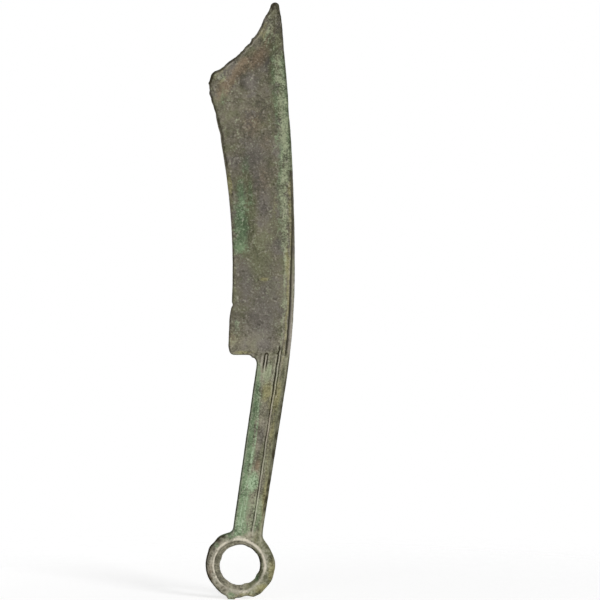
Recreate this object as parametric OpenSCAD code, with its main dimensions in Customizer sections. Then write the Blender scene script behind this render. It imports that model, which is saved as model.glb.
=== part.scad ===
// Knife coin: a bronze casting with a bowed blade, a leaning handle and a ring.
// Millimetres. The origin is the centre of the ring's hole, +Z runs towards the tip,
// +X towards the blade's back, and the obverse faces -Y.

/* [Blade] */
// Height of the tip above the hole's centre
tip_h = 152.1; // [147:0.1:157]
// Radius of the rounded tip
tip_r = 1.2; // [0.8:0.1:1.8]
// Height of the shoulder's round above the hole's centre
shoulder_h = 130.4; // [127:0.1:134]
// Radius of the shoulder's round
shoulder_r = 3; // [1:0.1:4]
// Depth of the hollow cut from shoulder to tip, from the line between its two rounds
cut_depth = 2.3; // [1.5:0.05:3.5]
// Height of the waist, where back and edge both stand upright
waist_h = 80; // [76:0.5:86]
// Width of the blade at the waist
waist_w = 16.9; // [14:0.1:19]
// Distance of the back from the hole's centre at the waist
back_x = 14.9; // [13.5:0.1:16]
// Radius of the back above the waist
back_r_upper = 600; // [450:10:750]
// Radius of the back below the waist
back_r_lower = 205; // [170:5:235]
// Radius of the hollow cutting edge
edge_r = 189; // [160:1:240]
// Height of the blade's base above the hole's centre
base_h = 56.7; // [52:0.1:60]
// Height of the heel, from the base to the nick
heel_h = 13.4; // [10:0.1:16]
// Radius of the bulging heel
heel_r = 34; // [26:1:60]
// Height of the heel's fullest point above the base
heel_full_h = 5.6; // [4:0.1:7]
// Radius of the rounded heel corner
heel_corner_r = 1.4; // [0.6:0.1:2.5]
// Radius of the nick between heel and edge
nick_r = 0.6; // [0.3:0.1:1]
// Depth of the nick
nick_depth = 0.3; // [0.1:0.05:0.5]

/* [Blade thickness] */
// Thickness at the cutting edge
edge_t = 0.3; // [0.25:0.05:0.4]
// Width of the bevel behind the cutting edge
bevel_w = 1.5; // [1:0.1:2.5]
// Thickness behind the bevel
bevel_t = 0.56; // [0.5:0.02:0.65]
// Thickness of the flat at the back
back_t = 0.9; // [0.75:0.05:1.05]

/* [Rims along the back] */
// Thickness over both rims
rim_t = 1.6; // [1.5:0.05:2]
// Width of the obverse rim at the waist and below
rim_w_low = 1.15; // [0.7:0.05:1.6]
// Width of the obverse rim at the tip
rim_w_tip = 0.4; // [0.3:0.05:0.7]
// Width of the reverse rim
rim_w_reverse = 1.25; // [0.8:0.05:1.6]
// Groove between the reverse rim and its inner line
rim_groove = 0.3; // [0.2:0.05:0.5]
// Width of the reverse rim's inner line
rim_line_w = 0.3; // [0.2:0.05:0.5]
// Height of the inner line under the rim's top
rim_line_drop = 0.15; // [0.05:0.01:0.2]
// Height above the hole's centre at which the reverse rim has narrowed to nothing
rim_end_h = 45.5; // [38:0.5:50]

/* [Handle] */
// Thickness of the handle between its ribs
handle_t = 1.15; // [0.9:0.05:1.35]
// Level width of the handle where it leaves the blade
handle_w_top = 8.9; // [7.5:0.1:10]
// Level width of the handle at the ring
handle_w_ring = 8.1; // [6.5:0.1:9]
// Distance of the handle's middle from the hole's centre, at the ring
handle_shift = 0.75; // [-0.5:0.05:1.5]
// Radius of the fillet under the blade's base
base_fillet_r = 2.4; // [1:0.1:3.5]
// Radius of the fillets where the handle meets the ring
ring_fillet_r = 1.8; // [0.8:0.1:2.5]

/* [Ribs on the handle] */
// Width of a rib
rib_w = 0.6; // [0.4:0.05:0.8]
// Height of a rib above the handle
rib_rise = 0.24; // [0.15:0.01:0.4]
// Radius of a rib's rounded top
rib_crown_r = 0.5; // [0.45:0.05:1]
// Gap between the blade's base and the ribs of the obverse
rib_gap = 0.5; // [0.4:0.1:2]
// Place of the rib near the edge side, as a share of the handle's width
rib_share_edge = 0.25; // [0.18:0.01:0.35]
// Place of the rib near the back side, as a share of the handle's width
rib_share_back = 0.67; // [0.6:0.01:0.72]
// Place of the reverse's upper rib, as a share of the handle's width
rib_share_upper = 0.33; // [0.2:0.01:0.4]
// Place of the reverse's lower rib, as a share of the handle's width
rib_share_lower = 0.75; // [0.65:0.01:0.8]
// Upper end of the reverse's upper rib, above the hole's centre
rib_upper_top = 53; // [47:0.5:55]
// Lower end of the reverse's upper rib
rib_upper_end = 34; // [32:0.5:45]
// Upper end of the reverse's lower rib
rib_lower_top = 31; // [20:0.5:40]

/* [Ring] */
// Radius of the hole
hole_r = 5.4; // [4.5:0.1:6]
// Radius of the ring's outside
ring_r = 9.3; // [8.6:0.1:10.5]
// Thickness of the ring at its crest
ring_t = 2.3; // [1.8:0.1:3]
// Radius of the middle of the crest
crest_r = 6.9; // [6.6:0.05:7.6]
// Width of the flat on the crest
crest_w = 0.5; // [0.3:0.05:0.8]
// Height of the upright wall in the hole
land_t = 0.9; // [0.6:0.1:1.4]
// Height of the upright wall round the outside
rim_land_t = 0.7; // [0.5:0.1:1.2]

/* [Casting gate] */
// Direction of the broken gate, degrees from straight down
gate_lean = 10; // [0:1:30]
// Depth of the break in the ring's outside
gate_depth = 0.5; // [0.2:0.05:0.6]
// Width of the stub left on the break
stub_w = 2.4; // [1.6:0.1:3]
// Height of the stub on its tall side
stub_h = 1; // [0.5:0.1:1.6]
// Height of the stub on its low side
stub_low_h = 0.65; // [0.3:0.05:1]
// Thickness of the stub
stub_t = 0.8; // [0.5:0.05:1]
// Distance of the stub's middle from the middle of the break
stub_shift = 0.55; // [0:0.05:0.8]

/* [Hidden] */
$fn = 360;

// Longer than any piece is wide, for cutting shapes off
reach = 4 * waist_w;
// How far a cutting shape runs past what it cuts
spare = 1;
// How far a sweep runs past what it cuts, in degrees
spare_turn = 2;
// How far a round stands proud of the curves that it joins, so that they cross and don't just touch
blend = 0.002;
hole_c = [0, 0];

// Point where two circles meet, to the left or right of the line between their centres
function circles_meet(a, ra, b, rb, side) =
    let (d = norm(b - a), u = (b - a) / d, x = (d * d + ra * ra - rb * rb) / (2 * d))
    a + x * u + side * sqrt(ra * ra - x * x) * [-u[1], u[0]];
// Point at a distance from a centre, towards another point
function towards(c, p, r) = c + r * (p - c) / norm(p - c);
// Horizontal place of a circle's right-hand side at a height
function right_side(c, r, h) = c[0] + sqrt(r * r - (h - c[1]) * (h - c[1]));
// Radius of an arc that starts level and drops by fall over run
function arc_r(run, fall) = (run * run + fall * fall) / (2 * fall);

// Back: two arcs that meet upright at the waist
back_upper_c = [back_x - back_r_upper, waist_h];
back_lower_c = [back_x - back_r_lower, waist_h];
// Height over which the lower arc runs on past its ends, to cross its neighbours
back_lap = 4 * sqrt(2 * back_r_lower * blend);
// The handle's back is the line from the ring that touches the lower arc
back_foot = [handle_shift + handle_w_ring / 2, 0];
foot_d = norm(back_foot - back_lower_c);
back_lean = -atan2(back_foot[1] - back_lower_c[1], back_foot[0] - back_lower_c[0])
    - acos(back_r_lower / foot_d);
// Point where the lower arc, moved in by an inset, turns into the line
function back_join(inset) =
    back_lower_c + (back_r_lower - inset) * [cos(back_lean), -sin(back_lean)];
// Point of that line at a height
function back_line(h, inset) =
    [back_join(inset)[0] - (back_join(inset)[1] - h) * tan(back_lean), h];
// Point of the back below the waist, on the arc or on the line
function back_at(h, inset) =
    h < back_join(inset)[1] ? back_line(h, inset)
        : [right_side(back_lower_c, back_r_lower - inset, h), h];
// The handle's front is a line too
front_foot = back_foot - [handle_w_ring, 0];
front_top_x = back_foot[0] + base_h * tan(back_lean) - handle_w_top;
front_lean = atan2(front_top_x - front_foot[0], base_h);

// Cutting edge, tip cut and the rounds at its two ends
edge_c = [back_x - waist_w - edge_r, waist_h];
tip_c = [right_side(back_upper_c, back_r_upper - tip_r, tip_h - tip_r), tip_h - tip_r];
shoulder_c = [right_side(edge_c, edge_r + shoulder_r, shoulder_h), shoulder_h];
cut_r = arc_r(norm(tip_c - shoulder_c) / 2, cut_depth) - (shoulder_r + tip_r) / 2;
cut_c = circles_meet(shoulder_c, cut_r + shoulder_r, tip_c, cut_r + tip_r, 1);

// Heel below the nick
nick_at = [right_side(edge_c, edge_r, base_h + heel_h), base_h + heel_h];
heel_full = base_h + heel_full_h;
heel_c = [right_side(nick_at, heel_r, nick_at[1] + heel_h - heel_full_h), heel_full];
heel_corner_h = base_h + heel_corner_r;
heel_corner_c = [2 * heel_c[0] - right_side(heel_c, heel_r - heel_corner_r, heel_corner_h),
    heel_corner_h];

// Directions square to the handle's front and back
front_side = [cos(front_lean), -sin(front_lean)];
back_side = [cos(back_lean), -sin(back_lean)];
// Fillets beside the handle: centres at a radius from the line and from what it meets
base_fillet_c = [front_foot[0] + (base_h - base_fillet_r) * tan(front_lean)
    - base_fillet_r / cos(front_lean), base_h - base_fillet_r];
// Height at which a leaning line, moved off by r, lies r outside the ring
function fillet_h(x0, lean) =
    let (d = ring_r + ring_fillet_r)
    sqrt(d * d - pow(x0 * cos(lean), 2)) * cos(lean) - x0 * sin(lean) * cos(lean);
front_off_x = front_foot[0] - ring_fillet_r / cos(front_lean);
front_fillet_h = fillet_h(front_off_x, front_lean);
front_fillet_c = [front_off_x + front_fillet_h * tan(front_lean), front_fillet_h];
back_off_x = back_foot[0] + ring_fillet_r / cos(back_lean);
back_fillet_h = fillet_h(back_off_x, back_lean);
back_fillet_c = [back_off_x + back_fillet_h * tan(back_lean), back_fillet_h];

// Blade thickness along a radius from the cutting edge's centre
far_r = max(norm(tip_c - edge_c), norm([back_x, base_h] - edge_c)) + waist_w / 4;
near_r = min(edge_r, norm([heel_c[0] - heel_r, heel_full] - edge_c)) - nick_depth;
bevel_slope = (bevel_t - edge_t) / 2 / bevel_w;
flat_slope = (back_t - bevel_t) / 2 / (waist_w - bevel_w);
far_half_t = bevel_t / 2 + flat_slope * (far_r - edge_r - bevel_w);
near_half_t = edge_t / 2 - bevel_slope * (edge_r - near_r);
sweep_low = -asin((waist_h - base_h) / edge_r) - spare_turn;
sweep_high = asin((tip_h - waist_h) / edge_r) + spare_turn;

// Radius of the obverse rim's inner arc, which narrows the rim from waist to tip
rim_rise_h = tip_h - waist_h;
rim_inner_r = arc_r(rim_rise_h, pow(rim_rise_h, 2) / 2 / back_r_upper - rim_w_low + rim_w_tip);

gate_r = ring_r - gate_depth;

bronze = [0.42, 0.40, 0.34];
bronze_green = [0.40, 0.45, 0.38];
bronze_worn = [0.52, 0.48, 0.41];

// Stands a shape that was drawn lying on its reverse upright
module upright() {
    rotate([90, 0, 0]) children();
}

// Turns a sharp corner into a round of radius r about c, between t1 and t2
module round_off(c, r, t1, t2) {
    half_way = (t1 + t2) / 2 - c;
    beyond = c + half_way * 2 * r * r / (half_way * half_way);
    difference() {
        children();
        polygon([t1, beyond, t2]);
    }
    translate(c) circle(r + blend);
}

// Fills an inner corner with a fillet of radius r about c, between t1 and t2, with v inside the piece
module fillet(c, r, t1, t2, v) {
    difference() {
        polygon([t1, c, t2, v]);
        translate(c) circle(r + blend);
    }
}

// Everything on the inner side of the back, moved in by an inset
module inside_back(low, inset = 0) {
    intersection() {
        translate(back_upper_c) circle(back_r_upper - inset);
        translate([-reach, waist_h]) square([2 * reach, tip_h - waist_h]);
    }
    inside_lower_back(low, inset);
}

// The same, below the waist only
module inside_lower_back(low, inset = 0) {
    join = back_join(inset);
    arc_low = max(low, join[1] - back_lap);
    intersection() {
        translate(back_lower_c) circle(back_r_lower - inset + blend);
        translate([-reach, arc_low]) square([2 * reach, waist_h + back_lap - arc_low]);
    }
    if (low < join[1])
        polygon([[-reach, low], back_line(low, inset), join, [-reach, join[1]]]);
}

// Everything in front of the cutting edge and of the heel
module before_edge() {
    intersection() {
        translate(edge_c) circle(edge_r);
        translate([edge_c[0] - edge_r, nick_at[1]]) square([3 * edge_r, 2 * edge_r]);
    }
    difference() {
        translate([-reach, base_h - heel_h]) square([reach + heel_c[0], 2 * heel_h]);
        translate(heel_c) circle(heel_r);
    }
}

// Outline of the blade
module blade_outline() {
    difference() {
        round_off(tip_c, tip_r, towards(back_upper_c, tip_c, back_r_upper),
            towards(cut_c, tip_c, cut_r))
        round_off(shoulder_c, shoulder_r, towards(edge_c, shoulder_c, edge_r),
            towards(cut_c, shoulder_c, cut_r))
        round_off(heel_corner_c, heel_corner_r, towards(heel_c, heel_corner_c, heel_r),
            [heel_corner_c[0], base_h])
        difference() {
            intersection() {
                inside_back(0);
                translate([-reach, base_h]) square([2 * reach, tip_h]);
            }
            before_edge();
            translate(cut_c) circle(cut_r);
        }
        translate(nick_at - [nick_r - nick_depth, 0]) circle(nick_r);
    }
}

// Web of the blade, before it is trimmed: bevel and flat, swept round the cutting edge's centre
module blade_web() {
    top = [[near_r, near_half_t], [edge_r + bevel_w, bevel_t / 2], [far_r, far_half_t]];
    bottom = [for (i = [2 : -1 : 0]) [top[i][0], -top[i][1]]];
    translate([edge_c[0], edge_c[1], 0])
        rotate([0, 0, sweep_low])
            rotate_extrude(angle = sweep_high - sweep_low)
                polygon(concat(top, bottom));
}

module blade() {
    color(bronze) upright() intersection() {
        linear_extrude(height = 2 * rim_t, center = true) blade_outline();
        blade_web();
    }
}

// Obverse rim: the strip between the back and a flatter arc
module back_rim_obverse() {
    color(bronze) upright() difference() {
        linear_extrude(height = rim_t / 2) difference() {
            blade_outline();
            intersection() {
                translate([back_x - rim_w_low - rim_inner_r, waist_h]) circle(rim_inner_r);
                translate([-reach, waist_h]) square([2 * reach, tip_h]);
            }
            inside_lower_back(0, rim_w_low);
        }
        blade_web();
    }
}

// Strip along the back between two insets, from the tip down to a height
module back_strip(low, outer, inner) {
    difference() {
        intersection() {
            union() {
                blade_outline();
                handle_outline();
            }
            inside_back(low, outer);
        }
        inside_back(0, inner);
    }
}

// What the reverse rim loses on the handle, where its inner side runs straight out to the back
module rim_taper() {
    polygon([back_at(rim_end_h, 0), back_at(base_h, rim_w_reverse), [-reach, base_h],
        [-reach, rim_end_h]]);
}

// Reverse rim, with a thin line beside it on the blade
module back_rim_reverse() {
    line_at = rim_w_reverse + rim_groove;
    color(bronze) upright() difference() {
        mirror([0, 0, 1]) {
            linear_extrude(height = rim_t / 2) difference() {
                back_strip(rim_end_h, -spare, rim_w_reverse);
                rim_taper();
            }
            linear_extrude(height = rim_t / 2 - rim_line_drop)
                back_strip(base_h, line_at, line_at + rim_line_w);
        }
        blade_web();
        handle_slab();
    }
}

// Outline of the handle, which runs on inside the ring
module handle_outline() {
    base_corner = [front_top_x, base_h];
    difference() {
        inside_lower_back(0);
        translate([-reach, base_h]) square([2 * reach, reach]);
        polygon([front_foot, base_corner, [-reach, base_h], [-reach, 0]]);
    }
    fillet(base_fillet_c, base_fillet_r, [base_fillet_c[0], base_h],
        base_fillet_c + base_fillet_r * front_side, base_corner + [handle_w_top / 2, 0]);
    fillet(front_fillet_c, ring_fillet_r, front_fillet_c + ring_fillet_r * front_side,
        towards(front_fillet_c, hole_c, ring_fillet_r), hole_c);
    fillet(back_fillet_c, ring_fillet_r, towards(back_fillet_c, hole_c, ring_fillet_r),
        back_fillet_c - ring_fillet_r * back_side, hole_c);
}

// Handle before it is cut off by the ring
module handle_slab() {
    linear_extrude(height = handle_t, center = true) handle_outline();
}

module handle() {
    color(bronze_green) upright() difference() {
        handle_slab();
        ring_filled();
    }
}

// Rib from one height to another, at a share of the handle's width
module rib(share, low, high) {
    function at(h) = [
        (front_foot[0] + h * tan(front_lean)) * (1 - share)
            + (back_foot[0] + h * tan(back_lean)) * share, h];
    a = at(low);
    length = norm(at(high) - a);
    lean = atan2(at(high)[1] - a[1], at(high)[0] - a[0]);
    translate([a[0], a[1], handle_t / 2]) rotate([0, 0, lean]) intersection() {
        linear_extrude(height = 2 * rib_rise) {
            translate([0, -rib_w / 2]) square([length, rib_w]);
            circle(rib_w / 2);
            translate([length, 0]) circle(rib_w / 2);
        }
        translate([-rib_w, 0, rib_rise - rib_crown_r])
            rotate([0, 90, 0]) cylinder(r = rib_crown_r, h = length + 2 * rib_w);
    }
}

module handle_ribs_obverse() {
    top = base_h - rib_gap - rib_w / 2;
    color(bronze_green) upright() difference() {
        union() {
            rib(rib_share_edge, crest_r, top);
            rib(rib_share_back, crest_r, top);
        }
        ring_filled();
    }
}

module handle_ribs_reverse() {
    color(bronze_green) upright() mirror([0, 0, 1]) difference() {
        union() {
            rib(rib_share_upper, rib_upper_end, rib_upper_top);
            rib(rib_share_lower, crest_r, rib_lower_top);
        }
        ring_filled();
    }
}

// Section of the ring: slope up from the hole's wall, flat crest and rounded outer flank
module ring_section() {
    inner_x = crest_r - crest_w / 2;
    outer_x = crest_r + crest_w / 2;
    flank_r = arc_r(ring_r - outer_x, (ring_t - rim_land_t) / 2);
    polygon([[hole_r, -land_t / 2], [inner_x, -ring_t / 2], [outer_x, -ring_t / 2],
        [outer_x, ring_t / 2], [inner_x, ring_t / 2], [hole_r, land_t / 2]]);
    intersection() {
        translate([outer_x, ring_t / 2 - flank_r]) circle(flank_r);
        translate([outer_x, flank_r - ring_t / 2]) circle(flank_r);
        translate([outer_x, -ring_t]) square([ring_r - outer_x, 2 * ring_t]);
    }
}

// Ring with its hole filled, for cutting what meets it
module ring_filled() {
    rotate_extrude() {
        translate([0, -ring_t / 2]) square([crest_r, ring_t]);
        intersection() {
            ring_section();
            translate([crest_r, -ring_t]) square([ring_r, 2 * ring_t]);
        }
    }
}

module ring() {
    color(bronze_worn) upright() difference() {
        rotate_extrude() ring_section();
        rotate([0, 0, -gate_lean])
            translate([-ring_r, -gate_r - ring_r, -ring_t]) cube([2 * ring_r, ring_r, 2 * ring_t]);
    }
}

// What is left of the casting gate: a stub with one tall and one low side
module casting_stub() {
    left = -stub_shift - stub_w / 2;
    right = -stub_shift + stub_w / 2;
    slant = stub_w / 8;
    color(bronze_worn) upright() rotate([0, 0, -gate_lean])
        linear_extrude(height = stub_t, center = true)
            polygon([[left, -gate_r], [left + slant, -gate_r - stub_h],
                [right - slant, -gate_r - stub_low_h], [right, -gate_r]]);
}

blade();
back_rim_obverse();
back_rim_reverse();
handle();
handle_ribs_obverse();
handle_ribs_reverse();
ring();
casting_stub();
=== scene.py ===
"""Knife coin: a worn bronze casting, sculpted face by face on the plain solids of its frame."""
import math
from collections import namedtuple

import bpy
import numpy as np
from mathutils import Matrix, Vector, kdtree
from mathutils.geometry import delaunay_2d_cdt

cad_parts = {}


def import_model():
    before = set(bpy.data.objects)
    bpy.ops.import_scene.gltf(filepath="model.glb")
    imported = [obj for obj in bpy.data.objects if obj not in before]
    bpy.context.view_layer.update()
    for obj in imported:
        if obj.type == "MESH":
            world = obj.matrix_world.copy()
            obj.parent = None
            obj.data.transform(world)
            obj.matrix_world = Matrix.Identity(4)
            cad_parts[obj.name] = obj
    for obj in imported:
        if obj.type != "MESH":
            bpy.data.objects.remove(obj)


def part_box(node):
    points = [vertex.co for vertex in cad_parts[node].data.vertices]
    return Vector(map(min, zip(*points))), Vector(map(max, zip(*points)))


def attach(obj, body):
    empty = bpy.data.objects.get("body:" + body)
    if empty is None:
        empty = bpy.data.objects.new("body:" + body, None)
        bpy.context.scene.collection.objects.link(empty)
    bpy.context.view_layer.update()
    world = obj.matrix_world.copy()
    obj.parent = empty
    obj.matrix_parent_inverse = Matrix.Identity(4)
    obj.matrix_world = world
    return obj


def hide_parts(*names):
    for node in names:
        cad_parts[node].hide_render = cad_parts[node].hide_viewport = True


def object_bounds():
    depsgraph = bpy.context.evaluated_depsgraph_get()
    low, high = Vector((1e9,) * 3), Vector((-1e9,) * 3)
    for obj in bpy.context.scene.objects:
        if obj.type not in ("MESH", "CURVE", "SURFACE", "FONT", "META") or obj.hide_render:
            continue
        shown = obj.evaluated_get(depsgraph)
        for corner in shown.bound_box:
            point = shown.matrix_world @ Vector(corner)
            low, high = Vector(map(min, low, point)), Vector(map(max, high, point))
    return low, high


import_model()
cad_low, cad_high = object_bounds()

# The coin is sculpted in millimetres, and its meshes are made in metres. The stage is in metres.
MM = 0.001
OBVERSE, REVERSE = 0, 1
SIDES = (OBVERSE, REVERSE)
FULL_TURN = 2 * math.pi
FAR, TINY = 99, 1e-12

# Sizes that the frame gives
TIP_H = cad_high.z / MM
BACK_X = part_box("blade")[1].x / MM
BASE_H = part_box("blade")[0].z / MM
RING_R = -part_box("ring")[0].x / MM
RING_HALF_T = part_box("ring")[1].y / MM
LOWEST = cad_low.z / MM

# Arcs of the blade
BACK_R_UPPER, BACK_R_LOWER = 600, 205
WAIST_H, WAIST_W = 80, 16.9
EDGE_R = 189
TIP_R, SHOULDER_R, SHOULDER_H, CUT_DEPTH = 1.2, 3, 130.4, 2.3
HEEL_H, HEEL_R, HEEL_FULL_H, HEEL_CORNER_R = 13.4, 34, 5.6, 1.4

# Handle: level widths at the ring and at the blade, and the fillets at both ends
HANDLE_W_RING, HANDLE_W_TOP, HANDLE_SHIFT = 8.1, 8.9, 0.75
BASE_FILLET_R, RING_FILLET_R = 2.4, 1.8

# Ring: hole, crest, how far the two mould halves had slipped apart, and the shape of its section
HOLE_R, CREST_R, MOULD_SLIP = 5.4, 6.75, 0.35
HOLE_LAND, RIM_LAND, CREST_ROUND, FLANK_POWER = 0.3, 0.2, 0.05, 1.9

# Half thicknesses of the blade at the edge, behind its bevel and at the back, and of handle, stub and rims
EDGE_Y, BEVEL_Y, BACK_Y, BEVEL_W = 0.15, 0.28, 0.45, 1.5
HANDLE_Y, STUB_Y, RIM_Y, LEAST_Y = 0.575, 0.4, 0.8, 0.08
RIM_END_H = 45.5

# Spacing of the sculpted surface on the blade and below it, of the measured outline, and of its rows
STEP, FINE_STEP, RIM_STEP = 0.2, 0.14, 0.05
FINE_TOP = BASE_H + 3
EDGE_ROWS = (0.03, 0.08, 0.15, 0.25)
ROW_ROOM, MERGE_GAP = 0.93, 1e-6


def vec(*xy):
    return np.array(xy, float)


def smooth(low, high, value):
    """0 at low, 1 at high, with an even ease at both ends. High may be under low."""
    t = np.clip((value - low) / (high - low), 0, 1)
    return t * t * (3 - 2 * t)


def smooth_max(a, b, width):
    gap = np.clip(0.5 + 0.5 * (a - b) / width, 0, 1)
    return b + (a - b) * gap + width * gap * (1 - gap)


def bell(value, middle, width):
    return np.exp(-(((value - middle) / width) ** 2))


class Noise:
    """Seeded gradient noise on a plane, about -1 to 1."""

    TABLE = 4096
    HASH_X, HASH_Y = 73856093, 19349663
    GAIN = 1.5
    OCTAVE_SHIFT = 17.3, -9.1

    def __init__(self, seed):
        turn = np.random.default_rng(seed).uniform(0, FULL_TURN, self.TABLE)
        self.gx, self.gy = np.cos(turn), np.sin(turn)

    def __call__(self, x, y, size):
        x, y = np.asarray(x, float) / size, np.asarray(y, float) / size
        x0, y0 = np.floor(x).astype(np.int64), np.floor(y).astype(np.int64)
        u, v = x - x0, y - y0

        def corner(i, j):
            h = ((x0 + i) * self.HASH_X ^ (y0 + j) * self.HASH_Y) % self.TABLE
            return self.gx[h] * (u - i) + self.gy[h] * (v - j)

        wu, wv = (t**3 * (t * (6 * t - 15) + 10) for t in (u, v))
        low = corner(0, 0) * (1 - wu) + corner(1, 0) * wu
        high = corner(0, 1) * (1 - wu) + corner(1, 1) * wu
        return self.GAIN * (low * (1 - wv) + high * wv)

    def fractal(self, x, y, size, octaves, gain=0.55):
        total, weight = 0, 1
        shift_x, shift_y = self.OCTAVE_SHIFT
        for octave in range(octaves):
            total = total + weight * self(x + shift_x * octave, y + shift_y * octave, size / 2**octave)
            weight *= gain
        return total


# Outline


def circles_meet(a, ra, b, rb, side):
    gap = np.hypot(*(b - a))
    u = (b - a) / gap
    x = (gap**2 + ra**2 - rb**2) / (2 * gap)
    return a + x * u + side * math.sqrt(ra**2 - x**2) * vec(-u[1], u[0])


def towards(centre, point, r):
    return centre + r * (point - centre) / np.hypot(*(point - centre))


def right_side(centre, r, h):
    return centre[0] + math.sqrt(r**2 - (h - centre[1]) ** 2)


ORIGIN = vec(0, 0)
back_upper_c = vec(BACK_X - BACK_R_UPPER, WAIST_H)
back_lower_c = vec(BACK_X - BACK_R_LOWER, WAIST_H)
edge_c = vec(BACK_X - WAIST_W - EDGE_R, WAIST_H)

# The handle's back touches the lower arc of the blade's back
back_foot = vec(HANDLE_SHIFT + HANDLE_W_RING / 2, 0)
foot_gap = back_foot - back_lower_c
back_lean = -math.atan2(foot_gap[1], foot_gap[0]) - math.acos(BACK_R_LOWER / np.hypot(*foot_gap))
back_side = vec(math.cos(back_lean), -math.sin(back_lean))
back_join = back_lower_c + BACK_R_LOWER * back_side
front_foot = back_foot - vec(HANDLE_W_RING, 0)
front_top_x = back_foot[0] + BASE_H * math.tan(back_lean) - HANDLE_W_TOP
front_lean = math.atan2(front_top_x - front_foot[0], BASE_H)
front_side = vec(math.cos(front_lean), -math.sin(front_lean))


def front_x(z):
    return front_foot[0] + z * math.tan(front_lean)


def back_x(z):
    return back_foot[0] + z * math.tan(back_lean)


def inset(x, z):
    """Distance inward from the smooth line of the back, from the tip down to the ring."""
    upper = BACK_R_UPPER - np.hypot(x - back_upper_c[0], z - back_upper_c[1])
    lower = BACK_R_LOWER - np.hypot(x - back_lower_c[0], z - back_lower_c[1])
    on_handle = (back_x(z) - x) * math.cos(back_lean)
    return np.where(z > WAIST_H, upper, np.where(z > back_join[1], lower, on_handle))


def ring_fillet(foot_x, lean, sign):
    """Centre of the fillet between the ring and a leaning side of the handle."""
    x0 = foot_x + sign * RING_FILLET_R / math.cos(lean)
    reach = math.sqrt((RING_R + RING_FILLET_R) ** 2 - (x0 * math.cos(lean)) ** 2)
    h = (reach - x0 * math.sin(lean)) * math.cos(lean)
    return vec(x0 + h * math.tan(lean), h)


front_fillet_c = ring_fillet(front_foot[0], front_lean, -1)
rear_fillet_c = ring_fillet(back_foot[0], back_lean, 1)


def arc(centre, r, start, end, clockwise=False):
    a = math.atan2(*(start - centre)[::-1])
    b = math.atan2(*(end - centre)[::-1])
    turn = (b - a) % FULL_TURN
    if clockwise:
        turn -= FULL_TURN
    steps = max(2, math.ceil(abs(turn) * r / STEP))
    angles = a + turn * np.arange(steps) / steps
    return centre + r * np.stack([np.cos(angles), np.sin(angles)], 1)


def straight(start, end):
    steps = max(1, math.ceil(np.hypot(*(end - start)) / STEP))
    return start + (end - start) * (np.arange(steps) / steps)[:, None]


# Foot of the ring: the tooth left by the casting gate and the flats beside it
TOOTH = np.array([
    (-3.75, -8.5), (-3.25, -9.3), (-1.4, -9.35), (-1.05, -9.0),
    (0.1, -8.95), (2.05, -8.6), (3.7, -8.7), (4.6, -8.1),
])
stub_start, stub_end = TOOTH[0], TOOTH[3]


def outline_points():
    """The coin's outline, from the tip down the cutting edge, round the ring and up the back."""
    tip_h = TIP_H - TIP_R
    tip_c = vec(right_side(back_upper_c, BACK_R_UPPER - TIP_R, tip_h), tip_h)
    shoulder_c = vec(right_side(edge_c, EDGE_R + SHOULDER_R, SHOULDER_H), SHOULDER_H)
    run = np.hypot(*(tip_c - shoulder_c)) / 2
    cut_r = (run**2 + CUT_DEPTH**2) / (2 * CUT_DEPTH) - (SHOULDER_R + TIP_R) / 2
    cut_c = circles_meet(shoulder_c, cut_r + SHOULDER_R, tip_c, cut_r + TIP_R, 1)
    nick = vec(right_side(edge_c, EDGE_R, BASE_H + HEEL_H), BASE_H + HEEL_H)
    heel_x = right_side(nick, HEEL_R, nick[1] + HEEL_H - HEEL_FULL_H)
    heel_c = vec(heel_x, BASE_H + HEEL_FULL_H)
    corner_h = BASE_H + HEEL_CORNER_R
    corner_c = vec(2 * heel_x - right_side(heel_c, HEEL_R - HEEL_CORNER_R, corner_h), corner_h)
    base_h = BASE_H - BASE_FILLET_R
    base_c = vec(front_x(base_h) - BASE_FILLET_R / math.cos(front_lean), base_h)

    tip_cut, cut_shoulder = towards(cut_c, tip_c, cut_r), towards(cut_c, shoulder_c, cut_r)
    shoulder_edge = towards(edge_c, shoulder_c, EDGE_R)
    heel_end = towards(heel_c, corner_c, HEEL_R)
    corner_end = vec(corner_c[0], BASE_H)
    base_end = vec(base_c[0], BASE_H)
    base_front = base_c + BASE_FILLET_R * front_side
    front_end = front_fillet_c + RING_FILLET_R * front_side
    front_ring = towards(front_fillet_c, ORIGIN, RING_FILLET_R)
    rear_ring = towards(rear_fillet_c, ORIGIN, RING_FILLET_R)
    rear_end = rear_fillet_c - RING_FILLET_R * back_side
    waist = vec(BACK_X, WAIST_H)
    tip_back = towards(back_upper_c, tip_c, BACK_R_UPPER)
    parts = [
        arc(cut_c, cut_r, tip_cut, cut_shoulder, clockwise=True),
        arc(shoulder_c, SHOULDER_R, cut_shoulder, shoulder_edge),
        arc(edge_c, EDGE_R, shoulder_edge, nick, clockwise=True),
        arc(heel_c, HEEL_R, nick, heel_end),
        arc(corner_c, HEEL_CORNER_R, heel_end, corner_end),
        straight(corner_end, base_end),
        arc(base_c, BASE_FILLET_R, base_end, base_front, clockwise=True),
        straight(base_front, front_end),
        arc(front_fillet_c, RING_FILLET_R, front_end, front_ring, clockwise=True),
        arc(ORIGIN, RING_R, front_ring, towards(ORIGIN, TOOTH[0], RING_R)),
        *[straight(a, b) for a, b in zip(TOOTH, TOOTH[1:])],
        arc(ORIGIN, RING_R, towards(ORIGIN, TOOTH[-1], RING_R), rear_ring),
        arc(rear_fillet_c, RING_FILLET_R, rear_ring, rear_end, clockwise=True),
        straight(rear_end, back_join),
        arc(back_lower_c, BACK_R_LOWER, back_join, waist),
        arc(back_upper_c, BACK_R_UPPER, waist, tip_back),
        arc(tip_c, TIP_R, tip_back, tip_cut),
    ]
    return np.concatenate(parts)


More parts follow.
